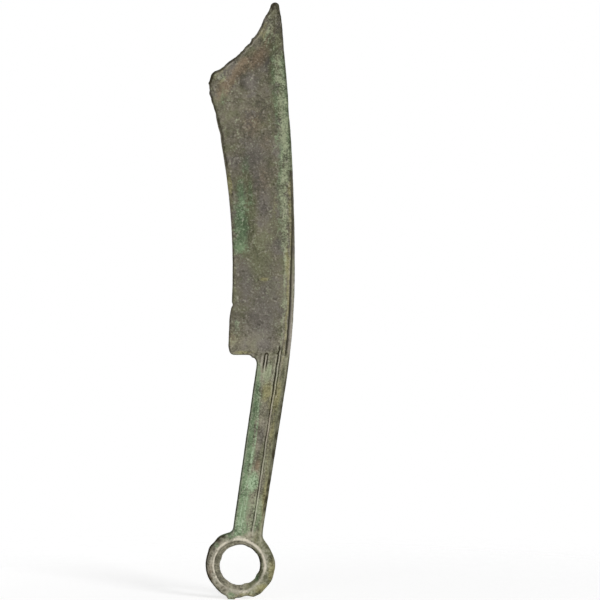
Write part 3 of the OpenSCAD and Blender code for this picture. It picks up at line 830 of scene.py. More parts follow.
# Patches: x and z of the middle, half width, half height, amount, and lean where it isn't 0
PATCHES = {
    ("green", OBVERSE): [
        (0.4, 92, 2.4, 9, 0.9, -0.05), (-0.2, 86.5, 2, 3.2, 1), (0.4, 100, 2, 5, 0.75, -0.05),
        (1.5, 108, 1.6, 4, 0.45), (3.3, 22.2, 2.1, 3.4, 1, 0.15), (4.6, 12.5, 2, 4.5, 0.7, 0.15),
        (-6.4, 5.4, 1.2, 1, 0.7), (4.6, -3.2, 0.9, 1.6, 0.8), (-2.4, -8.2, 1.6, 1.1, 0.8),
        (9.4, 50, 1.4, 4, 0.35, 0.15), (-1, 63, 1, 5, 0.3), (-4.6, 127, 1, 4, 0.4),
        (2.8, 100, 1.4, 6, 0.45, -0.05), (11.8, 113, 2, 6, 0.6),
    ],
    ("green", REVERSE): [
        (-1, 88.5, 1.4, 6, 0.7), (-1.2, 97, 1.6, 6, 0.35, -0.1), (-0.9, 15, 1.5, 8, 0.9, 0.15),
        (2.5, 30, 2.4, 9, 0.35, 0.15), (5.5, -5.6, 2.2, 2.2, 0.85), (9, 62, 3, 6, 0.25),
        (6.8, 93, 2, 7, 0.4), (-3, 112, 1.6, 6, 0.45, -0.15), (10.5, 104, 1.6, 8, 0.5), (2, 118, 2, 4, 0.5),
        (3.5, 52, 3, 5, 0.4), (8.5, 46, 1.6, 8, 0.4, 0.15), (-1.5, 62, 1.6, 5, 0.4),
        (8.4, 136, 1.6, 4, 0.4, 0.2),
    ],
    ("bloom", OBVERSE): [
        (3.3, 22.4, 1.9, 3.2, 0.8, 0.15), (0.6, 95, 1.2, 4, 0.25), (0.2, 11, 1.4, 3.2, 0.6, 0.15),
        (4.2, 13.5, 1, 2.5, 0.4, 0.15),
    ],
    ("bloom", REVERSE): [
        (-1, 88, 0.8, 3.5, 0.2), (-0.4, 12, 0.9, 4, 0.4, 0.15), (5.5, -5.4, 1, 1, 0.5),
    ],
    ("sage", OBVERSE): [
        (4.3, 14.5, 2, 5.5, 0.8, 0.15), (7.4, 51, 1.8, 3, 0.7, 0.15), (8, 142, 0.7, 3, 0.7, 0.4),
        (-4.8, 131.8, 1.6, 1.2, 0.5), (3, -7.4, 1.6, 0.8, 0.5), (-1.4, 60.5, 1.8, 2.6, 0.4),
        (9.8, 52, 0.9, 4, 0.5, 0.15), (7.7, 52.2, 1.6, 3.4, 0.85, 0.15), (7.4, 143.4, 0.8, 2.6, 0.8, 0.4),
        (-2.4, -8.7, 1.5, 0.9, 0.7), (12.1, 94, 1.3, 6, 0.6),
    ],
    ("sage", REVERSE): [
        (-0.8, 97, 1.3, 6, 0.3, -0.05), (9.8, 62, 1.6, 8, 0.5), (3.5, 36, 2, 9, 0.55, 0.15),
        (2, 16, 2, 8, 0.6, 0.15), (8.6, 54, 1.4, 5, 0.6, 0.15), (6, 72, 2, 3, 0.45),
        (11.6, 104, 1.2, 9, 0.75), (2.6, 84, 1.2, 3, 0.6), (-1, 64, 2, 5, 0.55),
        (5.4, 24, 1.4, 8, 0.5, 0.15), (10.8, 122, 1.2, 5, 0.4),
    ],
    ("ochre", OBVERSE): [
        (-2.7, 103, 0.8, 4, 0.9, -0.12), (12.6, 83, 0.7, 8, 0.75), (7.4, 47, 2, 3.6, 0.95, 0.15),
        (9.4, 45.5, 1.8, 6, 1, 0.15), (8.6, 36, 1, 7, 0.6, 0.15), (6.6, 17, 1.2, 9, 0.75, 0.15),
        (8.6, -1.8, 1.2, 4.2, 1), (5.8, -6.4, 2.4, 1.6, 0.95, 0.3), (1.6, -8, 2.6, 0.9, 0.9),
        (7.6, 6, 0.9, 2, 0.6, -0.5), (-1, -8.4, 1, 0.6, 0.6), (1, 57.3, 3.4, 0.7, 0.75),
        (6.6, 143, 0.7, 2.2, 0.6, 0.4), (7.2, 8.6, 1, 1.8, 0.7), (-5.2, 134, 1.8, 1.2, 0.45),
        (9.6, 97, 1.2, 6, 0.35), (11.4, 128, 1.4, 5, 0.5), (6.6, 77.2, 1.5, 0.7, 0.9),
        (-4.6, 131, 1.4, 1.6, 0.4, 0.4), (6.2, 144.6, 0.7, 2.2, 0.8, 0.45),
    ],
    ("ochre", REVERSE): [
        (5.8, 118, 3, 3, 0.62), (3, 60, 4, 5, 0.25), (6.5, 45, 2, 5, 0.45, 0.15),
        (4.5, 119.8, 1.3, 1.3, 0.65), (6.8, 120, 1, 1.1, 0.7), (5.4, 116.2, 1.1, 1.8, 0.75),
        (8, 117.8, 1.4, 0.8, 0.55), (7, 34, 0.7, 6, 0.6, 0.15), (-5.5, 132.5, 1.4, 1.4, 0.7),
        (10.6, 117, 0.6, 1, 0.7), (-7, -3.5, 1.4, 3, 0.6), (8, 132, 2, 4, 0.4), (2.2, 72, 2, 4, 0.4),
    ],
    ("red", OBVERSE): [
        (0.2, 134, 3, 6, 0.75, 0.8), (-4.2, 129, 2.6, 4.5, 0.75, 0.4), (3.5, 119, 5, 6, 0.45),
        (0.8, 135.6, 1.8, 2.4, 1, 0.7), (-2.4, 130.4, 1.6, 2, 0.9, 0.7), (7.6, 141.5, 1.5, 5, 0.7, 0.4),
        (5, 137, 3, 4, 0.9, 0.5), (-2, 61, 3, 2.6, 0.55), (4.8, 27, 1, 2.2, 0.85, 0.15),
        (-7.9, -1.8, 0.9, 3.2, 0.75), (6.4, 104, 3, 7, 0.4), (6.8, 114, 2.6, 4, 0.4),
        (-4.4, -5.8, 1.6, 1, 0.5, -0.6),
    ],
    ("red", REVERSE): [
        (1.4, 103, 3.6, 4, 0.5), (1, 129, 4.5, 7, 0.5), (6, 80, 4, 8, 0.3), (-4.8, 123, 1.4, 5, 0.55, -0.1),
        (-2.2, 114, 1.3, 5, 0.6, -0.15), (3.5, 109.5, 2.6, 4, 0.45), (3.5, 136, 4, 4, 0.4),
    ],
    ("purple", OBVERSE): [
        (4, 111, 5, 8, 0.7), (6.4, 98, 2.4, 8, 0.8), (6, 67, 6, 10, 0.75), (6.5, 59.5, 3, 3, 0.9),
        (2, 77, 3.2, 7, 0.75), (5.9, 35, 1.3, 7, 0.5, 0.15), (7.9, 30, 0.8, 12, 0.4, 0.15),
        (7.2, 54.5, 1.4, 2, 0.5), (2.6, 130.5, 3.4, 3.4, 0.9), (13.4, 68, 0.8, 16, 1),
        (4, 9.6, 1.4, 1.4, 0.5),
    ],
    ("purple", REVERSE): [
        (7.5, 127, 3, 8, 0.7), (3.4, 90, 3, 5, 0.8), (5.5, 76, 6, 16, 0.6), (4.5, 100, 3, 4, 0.5),
        (-0.4, 103, 2.2, 5, 0.6), (6.6, 36, 1.4, 12, 0.7, 0.15), (3.4, 16, 1.4, 6, 0.6, 0.15),
    ],
    ("olive", OBVERSE): [
        (5.5, 83, 4.5, 10, 0.7), (9, 92, 2.4, 8, 0.5), (11.6, 74, 1.2, 13, 0.3),
        (2.7, 98, 1.7, 9, 1, -0.05), (8.4, 75, 3, 7, 0.4), (9, 134, 2, 6, 0.7, 0.1),
        (3.6, 90.5, 1.8, 4, 0.7), (-6.6, 124, 1, 6, 0.6, -0.12), (6.7, 8.6, 2.1, 3, 1),
        (9.6, 147, 1, 4, 0.6, 0.1), (10.4, 141.5, 1.4, 4, 0.9), (6.2, 29, 1.8, 6, 0.8, 0.15),
    ],
    ("olive", REVERSE): [
        (4, 109, 3, 5, 0.6), (3, 60, 5, 8, 0.5), (6.5, 96, 4, 8, 0.45), (2.5, 80, 4, 5, 0.25),
    ],
    ("dirt", OBVERSE): [
        (-5.4, 6.6, 1, 0.8, 0.6), (-7, 4.2, 0.5, 0.7, 0.7), (-4.2, 7.6, 0.8, 0.5, 0.6),
        (8.4, 2, 0.5, 1.2, 0.5), (6.9, -3.4, 0.5, 1, 0.5), (0.6, 129.2, 0.7, 1.6, 0.55),
        (1.9, 128.4, 0.5, 1, 0.4), (-7.9, -3.8, 0.4, 0.5, 0.6), (-3.9, -6.6, 0.4, 0.4, 0.6),
        (10.1, 57.2, 0.55, 0.22, 0.9, 0.4), (11.1, 58.5, 0.22, 0.9, 0.9, 0.3),
        (11.9, 56.6, 0.5, 0.2, 0.7, -0.5), (9.4, 56.1, 0.3, 0.25, 0.7), (12.3, 57.4, 0.2, 0.6, 0.7),
    ],
    ("dirt", REVERSE): [
        (6, 6, 0.9, 0.7, 0.5), (-6.8, 3, 0.6, 0.9, 0.5), (3, -7.6, 1, 0.5, 0.5),
    ],
}
# Strips and lines along the sides of the coin
STRIPS = {
    ("green", OBVERSE): [
        line(from_back, (80, 3.4, 1, 0), (86, 3.8, 1.1, 0.35), (98, 4, 1.1, 0.4), (104, 3.6, 1, 0.45),
             (110, 3, 1.1, 0.45), (120, 3.2, 1.2, 0.45), (130, 3.4, 1.5, 0.45), (137, 2.8, 1.4, 0.45),
             (143, 2, 0.8, 0)),
        strip(from_back, (104, 2.6, 0), (110, 3, 0.65), (125, 3.4, 0.65), (136, 3, 0.55), (143, 2, 0)),
        strip(from_front, (6, 4, 0), (9, 5, 1), (15, 4, 1), (20, 3.2, 1), (26, 2.9, 1), (38, 2.7, 1),
              (48, 2.4, 1), (52, 2, 0.85), (55, 1.6, 0.4), (57, 1.4, 0.1)),
    ],
    ("green", REVERSE): [
        0.35 * strip(from_back, (46, 1.6, 0.5), (100, 1.6, 0.9), (150, 1.6, 0.6)),
    ],
    ("bloom", OBVERSE): [
        line(from_front, (6, 1.2, 0.6, 0), (9, 1.2, 0.7, 0.6), (16, 1.7, 0.5, 0.5), (24, 2.2, 0.4, 0.5),
             (30, 2.5, 0.3, 0.75), (36, 2.7, 0.3, 0.55), (44, 2.3, 0.35, 0.45), (50, 1.4, 0.5, 0.3),
             (53, 1.4, 0.5, 0)),
        line(from_front, (10, 2.6, 0.25, 0), (12, 2.6, 0.25, 0.6), (18, 2.7, 0.25, 0.6), (20, 2.7, 0.25, 0)),
    ],
    ("sage", OBVERSE): [
        line(from_back, (78, 2.4, 0.7, 0), (86, 2.8, 0.9, 0.7), (98, 2.8, 1.1, 0.85), (104, 2.3, 1.2, 0.85),
             (108, 1.6, 1.4, 0.8), (117, 1.5, 1.5, 0.68), (124, 1.6, 1.5, 0.64), (132, 1.7, 1.5, 0.58),
             (139, 1.5, 1.2, 0.35), (144, 1.2, 1, 0)),
        line(from_back, (57, 2.6, 0.45, 0.3), (66, 2.7, 0.55, 0.5), (82, 2.8, 0.65, 0.55),
             (87, 2.8, 0.6, 0.4)),
        line(from_front, (8, 5, 1, 0), (11, 5, 1.2, 0.7), (18, 4.6, 0.8, 0.5), (24, 4.4, 0.5, 0)),
    ],
    ("sage", REVERSE): [
        strip(from_back, (46, 1.2, 0.15), (57, 1.3, 0.35), (150, 1.3, 0.35)),
        line(from_back, (56, 3.4, 0.9, 0.3), (70, 3.4, 0.9, 0.5), (84, 3.4, 0.9, 0.4), (100, 3.2, 0.9, 0.4),
             (112, 3, 0.8, 0.5), (116, 3, 0.8, 0.1)),
    ],
    ("ochre", OBVERSE): [
        line(from_edge, (58, 0.7, 0.3, 0.3), (105, 0.7, 0.3, 0.35), (124, 0.7, 0.3, 0)),
        line(from_back, (76, 1.2, 0.5, 0), (84, 1.2, 0.5, 0.6), (102, 1, 0.5, 0.65), (109, 0.6, 0.3, 0)),
        line(from_back, (57, 1.75, 0.35, 0.4), (66, 1.75, 0.4, 0.85), (82, 1.75, 0.4, 0.85),
             (87, 1.75, 0.4, 0)),
        line(rim_gap, (129, 1, 0.4, 0), (131, 1.2, 0.7, 0.35), (139, 1, 0.5, 0.15), (143, 0.8, 0.5, 0.5),
             (147, 0.6, 0.4, 0.3)) * (from_back > 2.5),
    ],
    ("ochre", REVERSE): [
        strip(from_back, (46, 0.5, 0.3), (57, 1.1, 0.45), (100, 1.1, 0.6), (150, 1.1, 0.7)),
        strip(rim_gap, (130, 1, 0), (133, 1.2, 0.8), (138, 0.8, 0.7), (142, 0.5, 0.5), (144, 0.3, 0))
        * (from_back > 2.5),
    ],
    ("red", OBVERSE): [
        along([30, 36, 44, 50], [0, 0.9, 0.9, 0])
        * bell(line_gap(*RIBS[OBVERSE][1][:4])[0], 0.05, 0.25),
    ],
    ("olive", OBVERSE): [
        strip(from_back, (8, 2.6, 0.9), (20, 2.6, 0.95), (36, 2.6, 0.85), (50, 2.8, 0.9), (56, 2.4, 0.6),
              (58, 2, 0)),
    ],
    ("olive", REVERSE): [
        strip(from_back, (46, 1.2, 0.5), (57, 1.4, 1), (150, 1.4, 1)),
    ],
}
# Lighter and darker parts of the patina, in the same order
SHADES = {
    OBVERSE: [
        (-5.4, 127, 3, 9, 0.7), (9, 142, 1.6, 6, -0.9, 0.2), (3.5, 107, 4, 8, -0.5), (0.5, 60, 5, 4, 0.9),
        (11.4, 115, 1.6, 3.6, 0.7), (6.5, 90, 2.6, 5, 0.9), (10.8, 78, 1.8, 7, 0.5),
        (2.8, 20, 3, 11, 0.5, 0.15), (4.6, 52, 2.4, 4, 0.6, 0.1), (-1.5, 137, 1.2, 6, 0.6, 0.9),
        (-0.4, 91, 2.2, 4, -0.4), (0.2, 85.6, 1.6, 2.2, 0.8), (2.8, 91, 1.8, 6, -0.7),
        (2.8, 100, 1.6, 5, -0.5), (-2, 123, 3, 4, 0.8), (2.5, 128.5, 2, 5, 0.7), (6.5, 60, 3.5, 3.5, 0.7),
        (0, 66.5, 2.6, 3, -0.5), (8, 135, 1.6, 4, -1), (0.6, 135.5, 2, 3, 0.5, 0.7),
        (5.2, 137.5, 2.8, 4, -1, 0.5), (8.6, 7, 2.2, 2.6, 0.8), (11.5, 113, 2.8, 6, 0.45),
        (11.8, 123.5, 2.2, 5.5, -0.35), (12, 94, 1.9, 5.5, 0.5), (1.2, 15, 1.6, 4.5, 1.6, 0.15),
        (3.3, 22.4, 2, 3.2, 0.8, 0.15), (5.8, 32, 1.6, 5, -0.4, 0.15), (8, 33, 1.5, 4.5, -0.4, 0.15),
        (4.2, 15, 1.5, 5, -0.7, 0.15), (9, 41.5, 1.7, 4.5, -1, 0.15), (7.7, 52, 1.8, 3.2, 0.8, 0.15),
        (8.6, -0.5, 1.4, 5, 0.6), (4.5, -7, 2.4, 1.8, 0.5), (-2.4, -8.6, 1.7, 1.1, 0.7),
        (3.2, 8.2, 1.8, 1.8, 1.2), (-3, 8.2, 2, 1.2, 0.7, -0.4), (-5, -6.4, 2, 1.6, -0.5, -0.6),
        (7.4, 143.4, 1, 3, 0.9, 0.4), (9.6, 145, 1.8, 5, -0.6, 0.15),
    ],
    REVERSE: [
        (5.6, 117.8, 2.6, 3.2, 1.2), (3, 109, 3.2, 5.5, -0.9), (1, 132, 3, 4, -0.5),
        (-3.4, 119, 2.6, 9, 0.9, -0.15), (-0.8, 103, 1.6, 6, 0.4), (11.5, 104, 1.6, 10, 0.6),
        (5, 74, 8, 14, 0.5), (6, 133.5, 4, 5, -0.4), (-4, 127, 3.5, 5, 0.7), (4, 99, 3, 4, -0.35),
        (9.5, 99, 2, 4.5, 0.35), (4.5, 88, 3.5, 5.5, 0.35), (7, 40, 2.5, 6, 0.45, 0.15),
        (5.5, 26, 2.2, 6, 0.45, 0.15), (4.5, 14, 2.2, 6, 0.75, 0.15), (1.5, 13, 1.8, 4, 0.4, 0.15),
        (0.5, 8, 3.5, 1.5, 1), (-8, 0, 1.2, 4, 0.5), (8, 0, 1.2, 4, 0.4), (10, 64, 2.2, 5, 0.3),
    ],
}
SHADE_LINES = {
    OBVERSE: [
        line(from_back, (57, 0.5, 0.5, 1.2), (80, 0.5, 0.5, 1), (88, 1, 0.4, -0.6), (106, 1, 0.4, -0.9),
             (110, 1, 0.4, 0)),
        line(from_back, (57, 2.5, 0.6, 0.5), (66, 2.5, 0.6, 0.8), (84, 2.5, 0.6, 0.8), (88, 2.5, 0.6, 0)),
        line(from_front, (8, 0.1, 0.5, 0), (14, 0.1, 0.6, -0.9), (45, 0.1, 0.6, -1), (52, 0.1, 0.5, 0)),
    ],
    REVERSE: [
        line(from_back, (57, 0.7, 0.5, 0.5), (80, 0.7, 0.5, 0.9), (105, 0.7, 0.5, 0.9), (120, 0.7, 0.5, 0)),
    ],
}
# How far the patina lightens and darkens over a few millimetres, at heights from low to high
CLOUDY = {
    OBVERSE: ([57, 62, 72, 82, 100, 120, 130, 150], [0.8, 0.7, 0.2, 0.3, 0.4, 0.5, 1.0, 1.3]),
    REVERSE: ([90, 110, 150], [0.3, 0.4, 0.5]),
}
# Strength of the fine grain: weak on the smooth parts of the blade, strong on its crusts
LIVELY = {
    OBVERSE: ([57, 62, 70, 82, 88, 104, 120, 130, 150], [1.2, 1.1, 0.6, 0.7, 0.95, 0.85, 0.9, 1.0, 1.2]),
    REVERSE: ([8, 60, 100, 104, 114, 120, 150], [1.0, 1.1, 1.0, 0.7, 0.7, 1.0, 0.9]),
}
# Share of grey green under the patina of the reverse
TINGE = [45, 62, 80, 105, 125], [0.4, 0.32, 0.2, 0.1, 0.05]
# Pale spot on the obverse's handle and ochre spot on the reverse: middle, half width, half height
PALE_SPOT, OCHRE_SPOT = (3.3, 22.4, 2.2, 3.4), (5.8, 118, 2.6, 3.2)
upper_crust = smooth(4.6, 2.6, from_back) * smooth(84, 108, Z)


def placed(kind, side):
    layers = [patch(*p) for p in PATCHES[kind, side]] + STRIPS.get((kind, side), [])
    return np.clip(np.max(layers, axis=0), 0, 1)


def liveliness(side):
    if side == REVERSE:
        return along(*LIVELY[side]) + patch(*OCHRE_SPOT, 1.6)
    return along(*LIVELY[side]) + patch(*PALE_SPOT, 1.4, 0.15) + 0.6 * upper_crust


def shade(side):
    """Lightness of the patina, -2 to 2."""
    total = np.sum([patch(*p) for p in SHADES[side]] + SHADE_LINES[side], axis=0)
    cloudy = along(*CLOUDY[side])
    if side == OBVERSE:
        cloudy = cloudy + 0.3 * upper_crust
    return np.clip(total + cloudy * fade.fractal(X + 130, Z + 200 * side, 3.6, 3, 0.6), -2, 2)


def specks(side):
    """Share of pale specks: few on the obverse's brown field, many on the reverse below the waist."""
    if side == OBVERSE:
        return 0.22 + 0.15 * placed("green", side)
    return 0.25 + 0.25 * smooth(100, 90, Z) + patch(*OCHRE_SPOT, 0.9)


def region_tone(side):
    """0 on the dark upper blade, about half on the handle, 1 on the worn ring."""
    if side == OBVERSE:
        tone = 0.16 * smooth(84, 60, Z) + 0.4 * smooth(BASE_H + 1.5, BASE_H - 4, Z)
    else:
        tone = along([45, 58, 75, 92, 112], [0.75, 0.5, 0.42, 0.22, 0.08])
    return tone + (1 - tone) * ring_share(3, 1.5)


# Bright parts of the ring's crest, wear and painted highlight: angles in degrees from +X, distance out from
# it, half width, amount
CREST_WEAR_AND_HIGHLIGHT = {
    OBVERSE: [
        (-24, 34, 0.12, 0.5, 1.15), (18, 80, 0.1, 0.5, 1.25), (58, 110, 0.3, 0.45, 1.1),
        (74, 104, 0.85, 0.45, 0.9), (108, 152, 0.22, 0.35, 0.95), (140, 205, 0.05, 0.24, 1.1),
        (194, 240, 0.1, 0.25, 0.75), (148, 225, 0.8, 0.6, 0.45), (262, 306, 0.3, 0.45, 0.8),
        (-58, -10, 0.15, 0.4, 0.5),
    ],
    REVERSE: [
        (48, 140, 0.45, 0.75, 1.0), (130, 235, 0.3, 0.55, 0.65), (-70, 55, 0.15, 0.45, 0.9),
        (238, 318, 0.35, 0.5, 0.9),
    ],
}
# Painted shadow just inside the crest, and an outer flank darkened with painted shade and dirt: angles in
# degrees from +X
CREST_SHADOW = {OBVERSE: (40, 238), REVERSE: (-60, 130)}
FLANK_SHADE_AND_DIRT = {OBVERSE: (110, 235), REVERSE: (135, 240)}


def within(turn, start, end, ease=14):
    across = (turn - start) % 360
    return smooth(0, ease, across) * smooth(end - start, end - start - ease, across)


# Wear and painted highlight along the ring's crest
def crest_wear_and_highlight(side):
    turn, out = ring_place(side)
    total = np.zeros_like(X)
    for start, end, at, width, amount in CREST_WEAR_AND_HIGHLIGHT[side]:
        total = np.maximum(total, amount * within(turn, start, end) * bell(out, at, width))
    return total * (np.abs(out) < 3)


def ring_shade_and_dirt(side):
    """Painted shadow inside the crest, and a flank that darkens outwards on one side, painted shade and
    dirt.
    """
    turn, out = ring_place(side)
    inside = 0.5 * within(turn, *CREST_SHADOW[side]) * bell(out, -0.36, 0.16)
    flank = 0.65 * within(turn, *FLANK_SHADE_AND_DIRT[side], 30) * smooth(0.7, 2.4, out)
    return (inside + flank * uneven(0.9, 0.5, 2.0, 0, 1, shift_z=-20)) * (from_middle < RING_R + 0.3)


# Dark line along the outline, painted shade on the turning edge and dirt: its strength on each part, at
# heights from low to high
OUTLINE_DARK = {
    "edge": ([57, 70, 84, 88, 107, 116, 122, 130], [0.8, 0.75, 0.8, 0.3, 0.2, 0.3, 0.85, 0.95]),
    "back": ([57, 84, 90, 108, 112, 138, 144, 150], [0.05, 0.15, 0.45, 0.45, 0.55, 0.65, 0.85, 1.0]),
    "tip cut": ([132, 138, 141, 148, 150], [0.95, 0.9, 0.7, 0.75, 0.95]),
    "handle back": ([8, 13, 15, 28, 40, 50, 56], [0.2, 0.4, 1.0, 1.0, 0.95, 0.8, 0.6]),
    "handle front": ([8, 20, 30, 44, 56], [0.6, 0.7, 0.6, 0.7, 0.7]),
}
HEEL_DARK = 0.45
at_tip_cut = smooth(129.5, 132, Z) * (from_back > 1.6)
at_handle = band(9, 13, BASE_H - 3, BASE_H)
in_back_half = X > (front_x(Z) + back_x(Z)) / 2


def ring_outline(strength):
    """Changes the strength round the ring, where it is faint, and in the hole, where one side is dark with
    painted shade.
    """
    turn = np.degrees(np.arctan2(Z, X))
    left_side = bell((turn - 165 + 180) % 360 - 180, 0, 65)
    strength = strength + (0.25 + 0.5 * left_side - strength) * ring_share(1.2)
    shaded_side = smooth(-50, -10, turn) * smooth(110, 70, turn)
    return np.where(near_hole, 0.1 + 0.9 * shaded_side, strength)


def outline_strength(side):
    """How dark the line is: strong in the tip cut, soft along the back."""
    dark = {part: along(*stations) for part, stations in OUTLINE_DARK.items()}
    on_blade = np.where(from_back < 3, dark["back"], dark["edge"])
    on_handle = np.where(in_back_half, dark["handle back"], dark["handle front"])
    strength = np.where(Z > BASE_H + 0.3, on_blade, on_handle)
    strength = np.where((Z > BASE_H - 1) & (Z < BASE_H + 1.2) & (X < 6), HEEL_DARK, strength)
    broken = np.clip(1 + smooth(137, 140, Z) * 0.9 * (fade(X, Z + 40, 1.7) - 0.2), 0.1, 1)
    strength = strength + (dark["tip cut"] * broken - strength) * at_tip_cut
    strength = ring_outline(strength)
    if side == REVERSE:
        strength = strength * np.where(Z < BASE_H, 0.8, 0.45)
    return strength * uneven(0.85, 0.5, 1.8, 0.2, 1, shift_x=-33)


def outline_width():
    """Width of the line, which grows at the back, the point, the tip cut, the shoulder and the handle."""
    width = 0.26 + 0.1 * fade(X + 9, Z, 2.5)
    width = width + 0.12 * band(88, 94, 106, 110) * (from_back < 3)
    width = width + 0.5 * smooth(148.3, 150.3, Z)
    width = width + at_tip_cut * (0.2 + 0.15 * smooth(136, 144, Z) * uneven(0.5, 1, 2.0, 0, 1.5, shift_x=3))
    width = width + 0.15 * band(119, 124, 131, 134) * (from_back > 6)
    return width + 0.42 * at_handle * in_back_half * smooth(60, 36, Z)


def outline_shade_and_dirt(side):
    """Dark line along the outline, painted shade and dirt, and a second one inside the upper cutting edge.
    """
    wall = 0.45 + 0.55 * np.maximum(smooth(0.02, 0.12, rim_gap), at_handle)
    width = outline_width()
    total = outline_strength(side) * wall * smooth(width + 0.3, width, rim_gap)
    inside = band(103, 109, 120, 124) * (from_back > 6) * (1 if side == OBVERSE else 0.3)
    inside = inside * uneven(0.75, 0.7, 2.2, 0.15, 1, shift_x=15)
    return np.maximum(total, inside * bell(rim_gap + 0.12 * fade(X, Z, 1.5), 0.52, 0.27))


def scratch():
    """Row of pale dots along the reverse, beside its rim."""
    row = line(from_back, (87, 4, 0.15, 0), (89, 4, 0.15, 0.6), (97, 4, 0.15, 0.6), (99, 4, 0.15, 0))
    return row * smooth(-0.1, 0.3, fade(X + 5, Z, 1.1))


def cut_line(side):
    """Pale line inside the tip cut."""
    amount = 0.5 if side == OBVERSE else 0.15
    at = bell(rim_gap, 0.85, 0.16) * smooth(130, 134, Z) * (from_back > 2.5)
    return amount * at * smooth(-0.4, 0.4, fade(X, Z, 2.2))


def dirt_shade_wear_and_highlight(side):
    """Dirt and painted shade in the hollows and along the outline, and wear and painted highlight on what
    stands out.
    """
    height = full[side]
    fine, broad = (averaged(height, times) - height for times in (5, 60))
    inner = smooth(0.1, 0.6, rim_gap)
    hole_wall = smooth(0.1, -0.25, np.hypot(X - CREST_X[side], Z) - CREST_R) * (from_middle < RING_R)
    gap, groove, _ = groove_lines(side)
    beside_rim = np.clip(1.3 * groove, 0, 1)

    # Hollows darkened: dirt, and painted shade where light would not reach
    dirt = smooth(0.002, 0.03, fine) * inner * (0.45 - 0.2 * ring_share(2))
    dirt = dirt + smooth(0.03, 0.16, broad) * inner * 0.3
    dirt = dirt * (1 - 0.7 * hole_wall) * (1 - 0.85 * beside_rim * bell(gap, 0.1, 0.5)) + ring_shade_and_dirt(side)
    # Grooves, crack and the hole's wall darkened as dirt and painted shade, and the placed dark spots
    dirt = dirt + smooth(0.03, 0.14, cut[side]) * 0.9 + 0.08 * hole_wall + placed("dirt", side)
    # Less dirt and painted shade on the very edge of the cutting edge, which leaves a thin lighter line
    # there
    bright_edge = smooth(0.16, 0.06, rim_gap) * band(60, 66, 122, 128) * (from_back > 4)
    dirt = np.clip(dirt + outline_shade_and_dirt(side), 0, 1) * (1 - 0.6 * bright_edge)

    # What stands out is lightened: wear, and a painted highlight
    wear = smooth(0.004, 0.035, -fine) * inner * 0.4 + smooth(0.1, 0.3, -broad) * inner * 0.2
    wear = wear * (1 - 0.8 * beside_rim * bell(gap, -0.35, 0.5 + 0.3 * side)) * (1 - 0.5 * hole_wall)
    wear = wear + cut_line(side) + rib_wear_and_highlight(side)
    if side == REVERSE:
        wear = wear + scratch()
    return dirt, np.clip(wear, 0, 1)


def rim_edge_highlight():
    """Painted highlight on the outer edge of the obverse's rim."""
    return line(from_back, (56, 0.2, 0.22, 0.6), (76, 0.2, 0.2, 0.5), (82, 0.2, 0.2, 0)) * smooth(55, 57, Z)


PATINA_KINDS = "green", "bloom", "sage", "ochre", "red", "purple", "olive"


def masks_of(side):
    """Everything that the material reads from the points of one face."""
    found = {kind: placed(kind, side) for kind in PATINA_KINDS}
    found["tone"] = region_tone(side)
    found["dirt"], found["wear"] = dirt_shade_wear_and_highlight(side)
    found["shade"] = shade(side)
    found["speck"] = specks(side)
    found["crest"] = crest_wear_and_highlight(side) + (rim_edge_highlight() if side == OBVERSE else 0)
    found["lively"] = liveliness(side)
    found["tinge"] = along(*TINGE) * (side == REVERSE)
    found["groove_gap"], found["groove"], found["groove_inner"] = groove_lines(side)
    return found


masks = [masks_of(side) for side in SIDES]

# Materials


class Graph:
    """Shorthand for the nodes of a material or a world."""

    def __init__(self, owner):
        owner.use_nodes = True
        self.owner, self.tree = owner, owner.node_tree

    def add(self, kind, sockets=(), **settings):
        """Adds a node. Sockets are pairs of an input's name or number and what goes into it."""
        node = self.tree.nodes.new(kind)
        for key, value in settings.items():
            setattr(node, key, value)
        self.fill(node, sockets)
        return node

    def fill(self, node, sockets):
        for socket, value in sockets:
            if hasattr(value, "is_output"):
                self.tree.links.new(value, node.inputs[socket])
            else:
                node.inputs[socket].default_value = value

    def shader(self, *sockets):
        """Fills sockets of the material's own shader."""
        node = self.tree.nodes["Principled BSDF"]
        self.fill(node, sockets)
        return node

    def blend(self, share, a, b, output):
        """Shows a blend of two shaders."""
        node = self.add("ShaderNodeMixShader", [(0, share), (1, a.outputs[0]), (2, b.outputs[0])])
        self.fill(self.tree.nodes[output], [("Surface", node.outputs[0])])

    def place(self):
        return self.add("ShaderNodeTexCoord").outputs["Object"]

    def mask(self, name):
        return self.add("ShaderNodeAttribute", attribute_name=name).outputs["Fac"]

    def noise(self, place, size, detail, rough):
        sockets = [("Vector", place), ("Scale", 1 / size), ("Detail", detail), ("Roughness", rough)]
        return self.add("ShaderNodeTexNoise", sockets).outputs["Fac"]

    def math(self, operation, *values):
        return self.add("ShaderNodeMath", enumerate(values), operation=operation).outputs[0]

    def times(self, a, b):
        return self.math("MULTIPLY", a, b)

    def times_plus(self, a, b, c):
        return self.math("MULTIPLY_ADD", a, b, c)

    def vector(self, operation, *sockets):
        return self.add("ShaderNodeVectorMath", sockets, operation=operation).outputs

    def ramp(self, value, low, high, top=1.0):
        sockets = [("Value", value), ("From Min", low), ("From Max", high), ("To Max", top)]
        return self.add("ShaderNodeMapRange", sockets, interpolation_type="SMOOTHSTEP").outputs["Result"]

    def mix(self, share, a, b):
        """Mixes two colours, each from a node or of three numbers."""
        a, b = (c if hasattr(c, "is_output") else (*c, 1) for c in (a, b))
        return self.add("ShaderNodeMix", [("Factor", share), (6, a), (7, b)], data_type="RGBA").outputs[2]


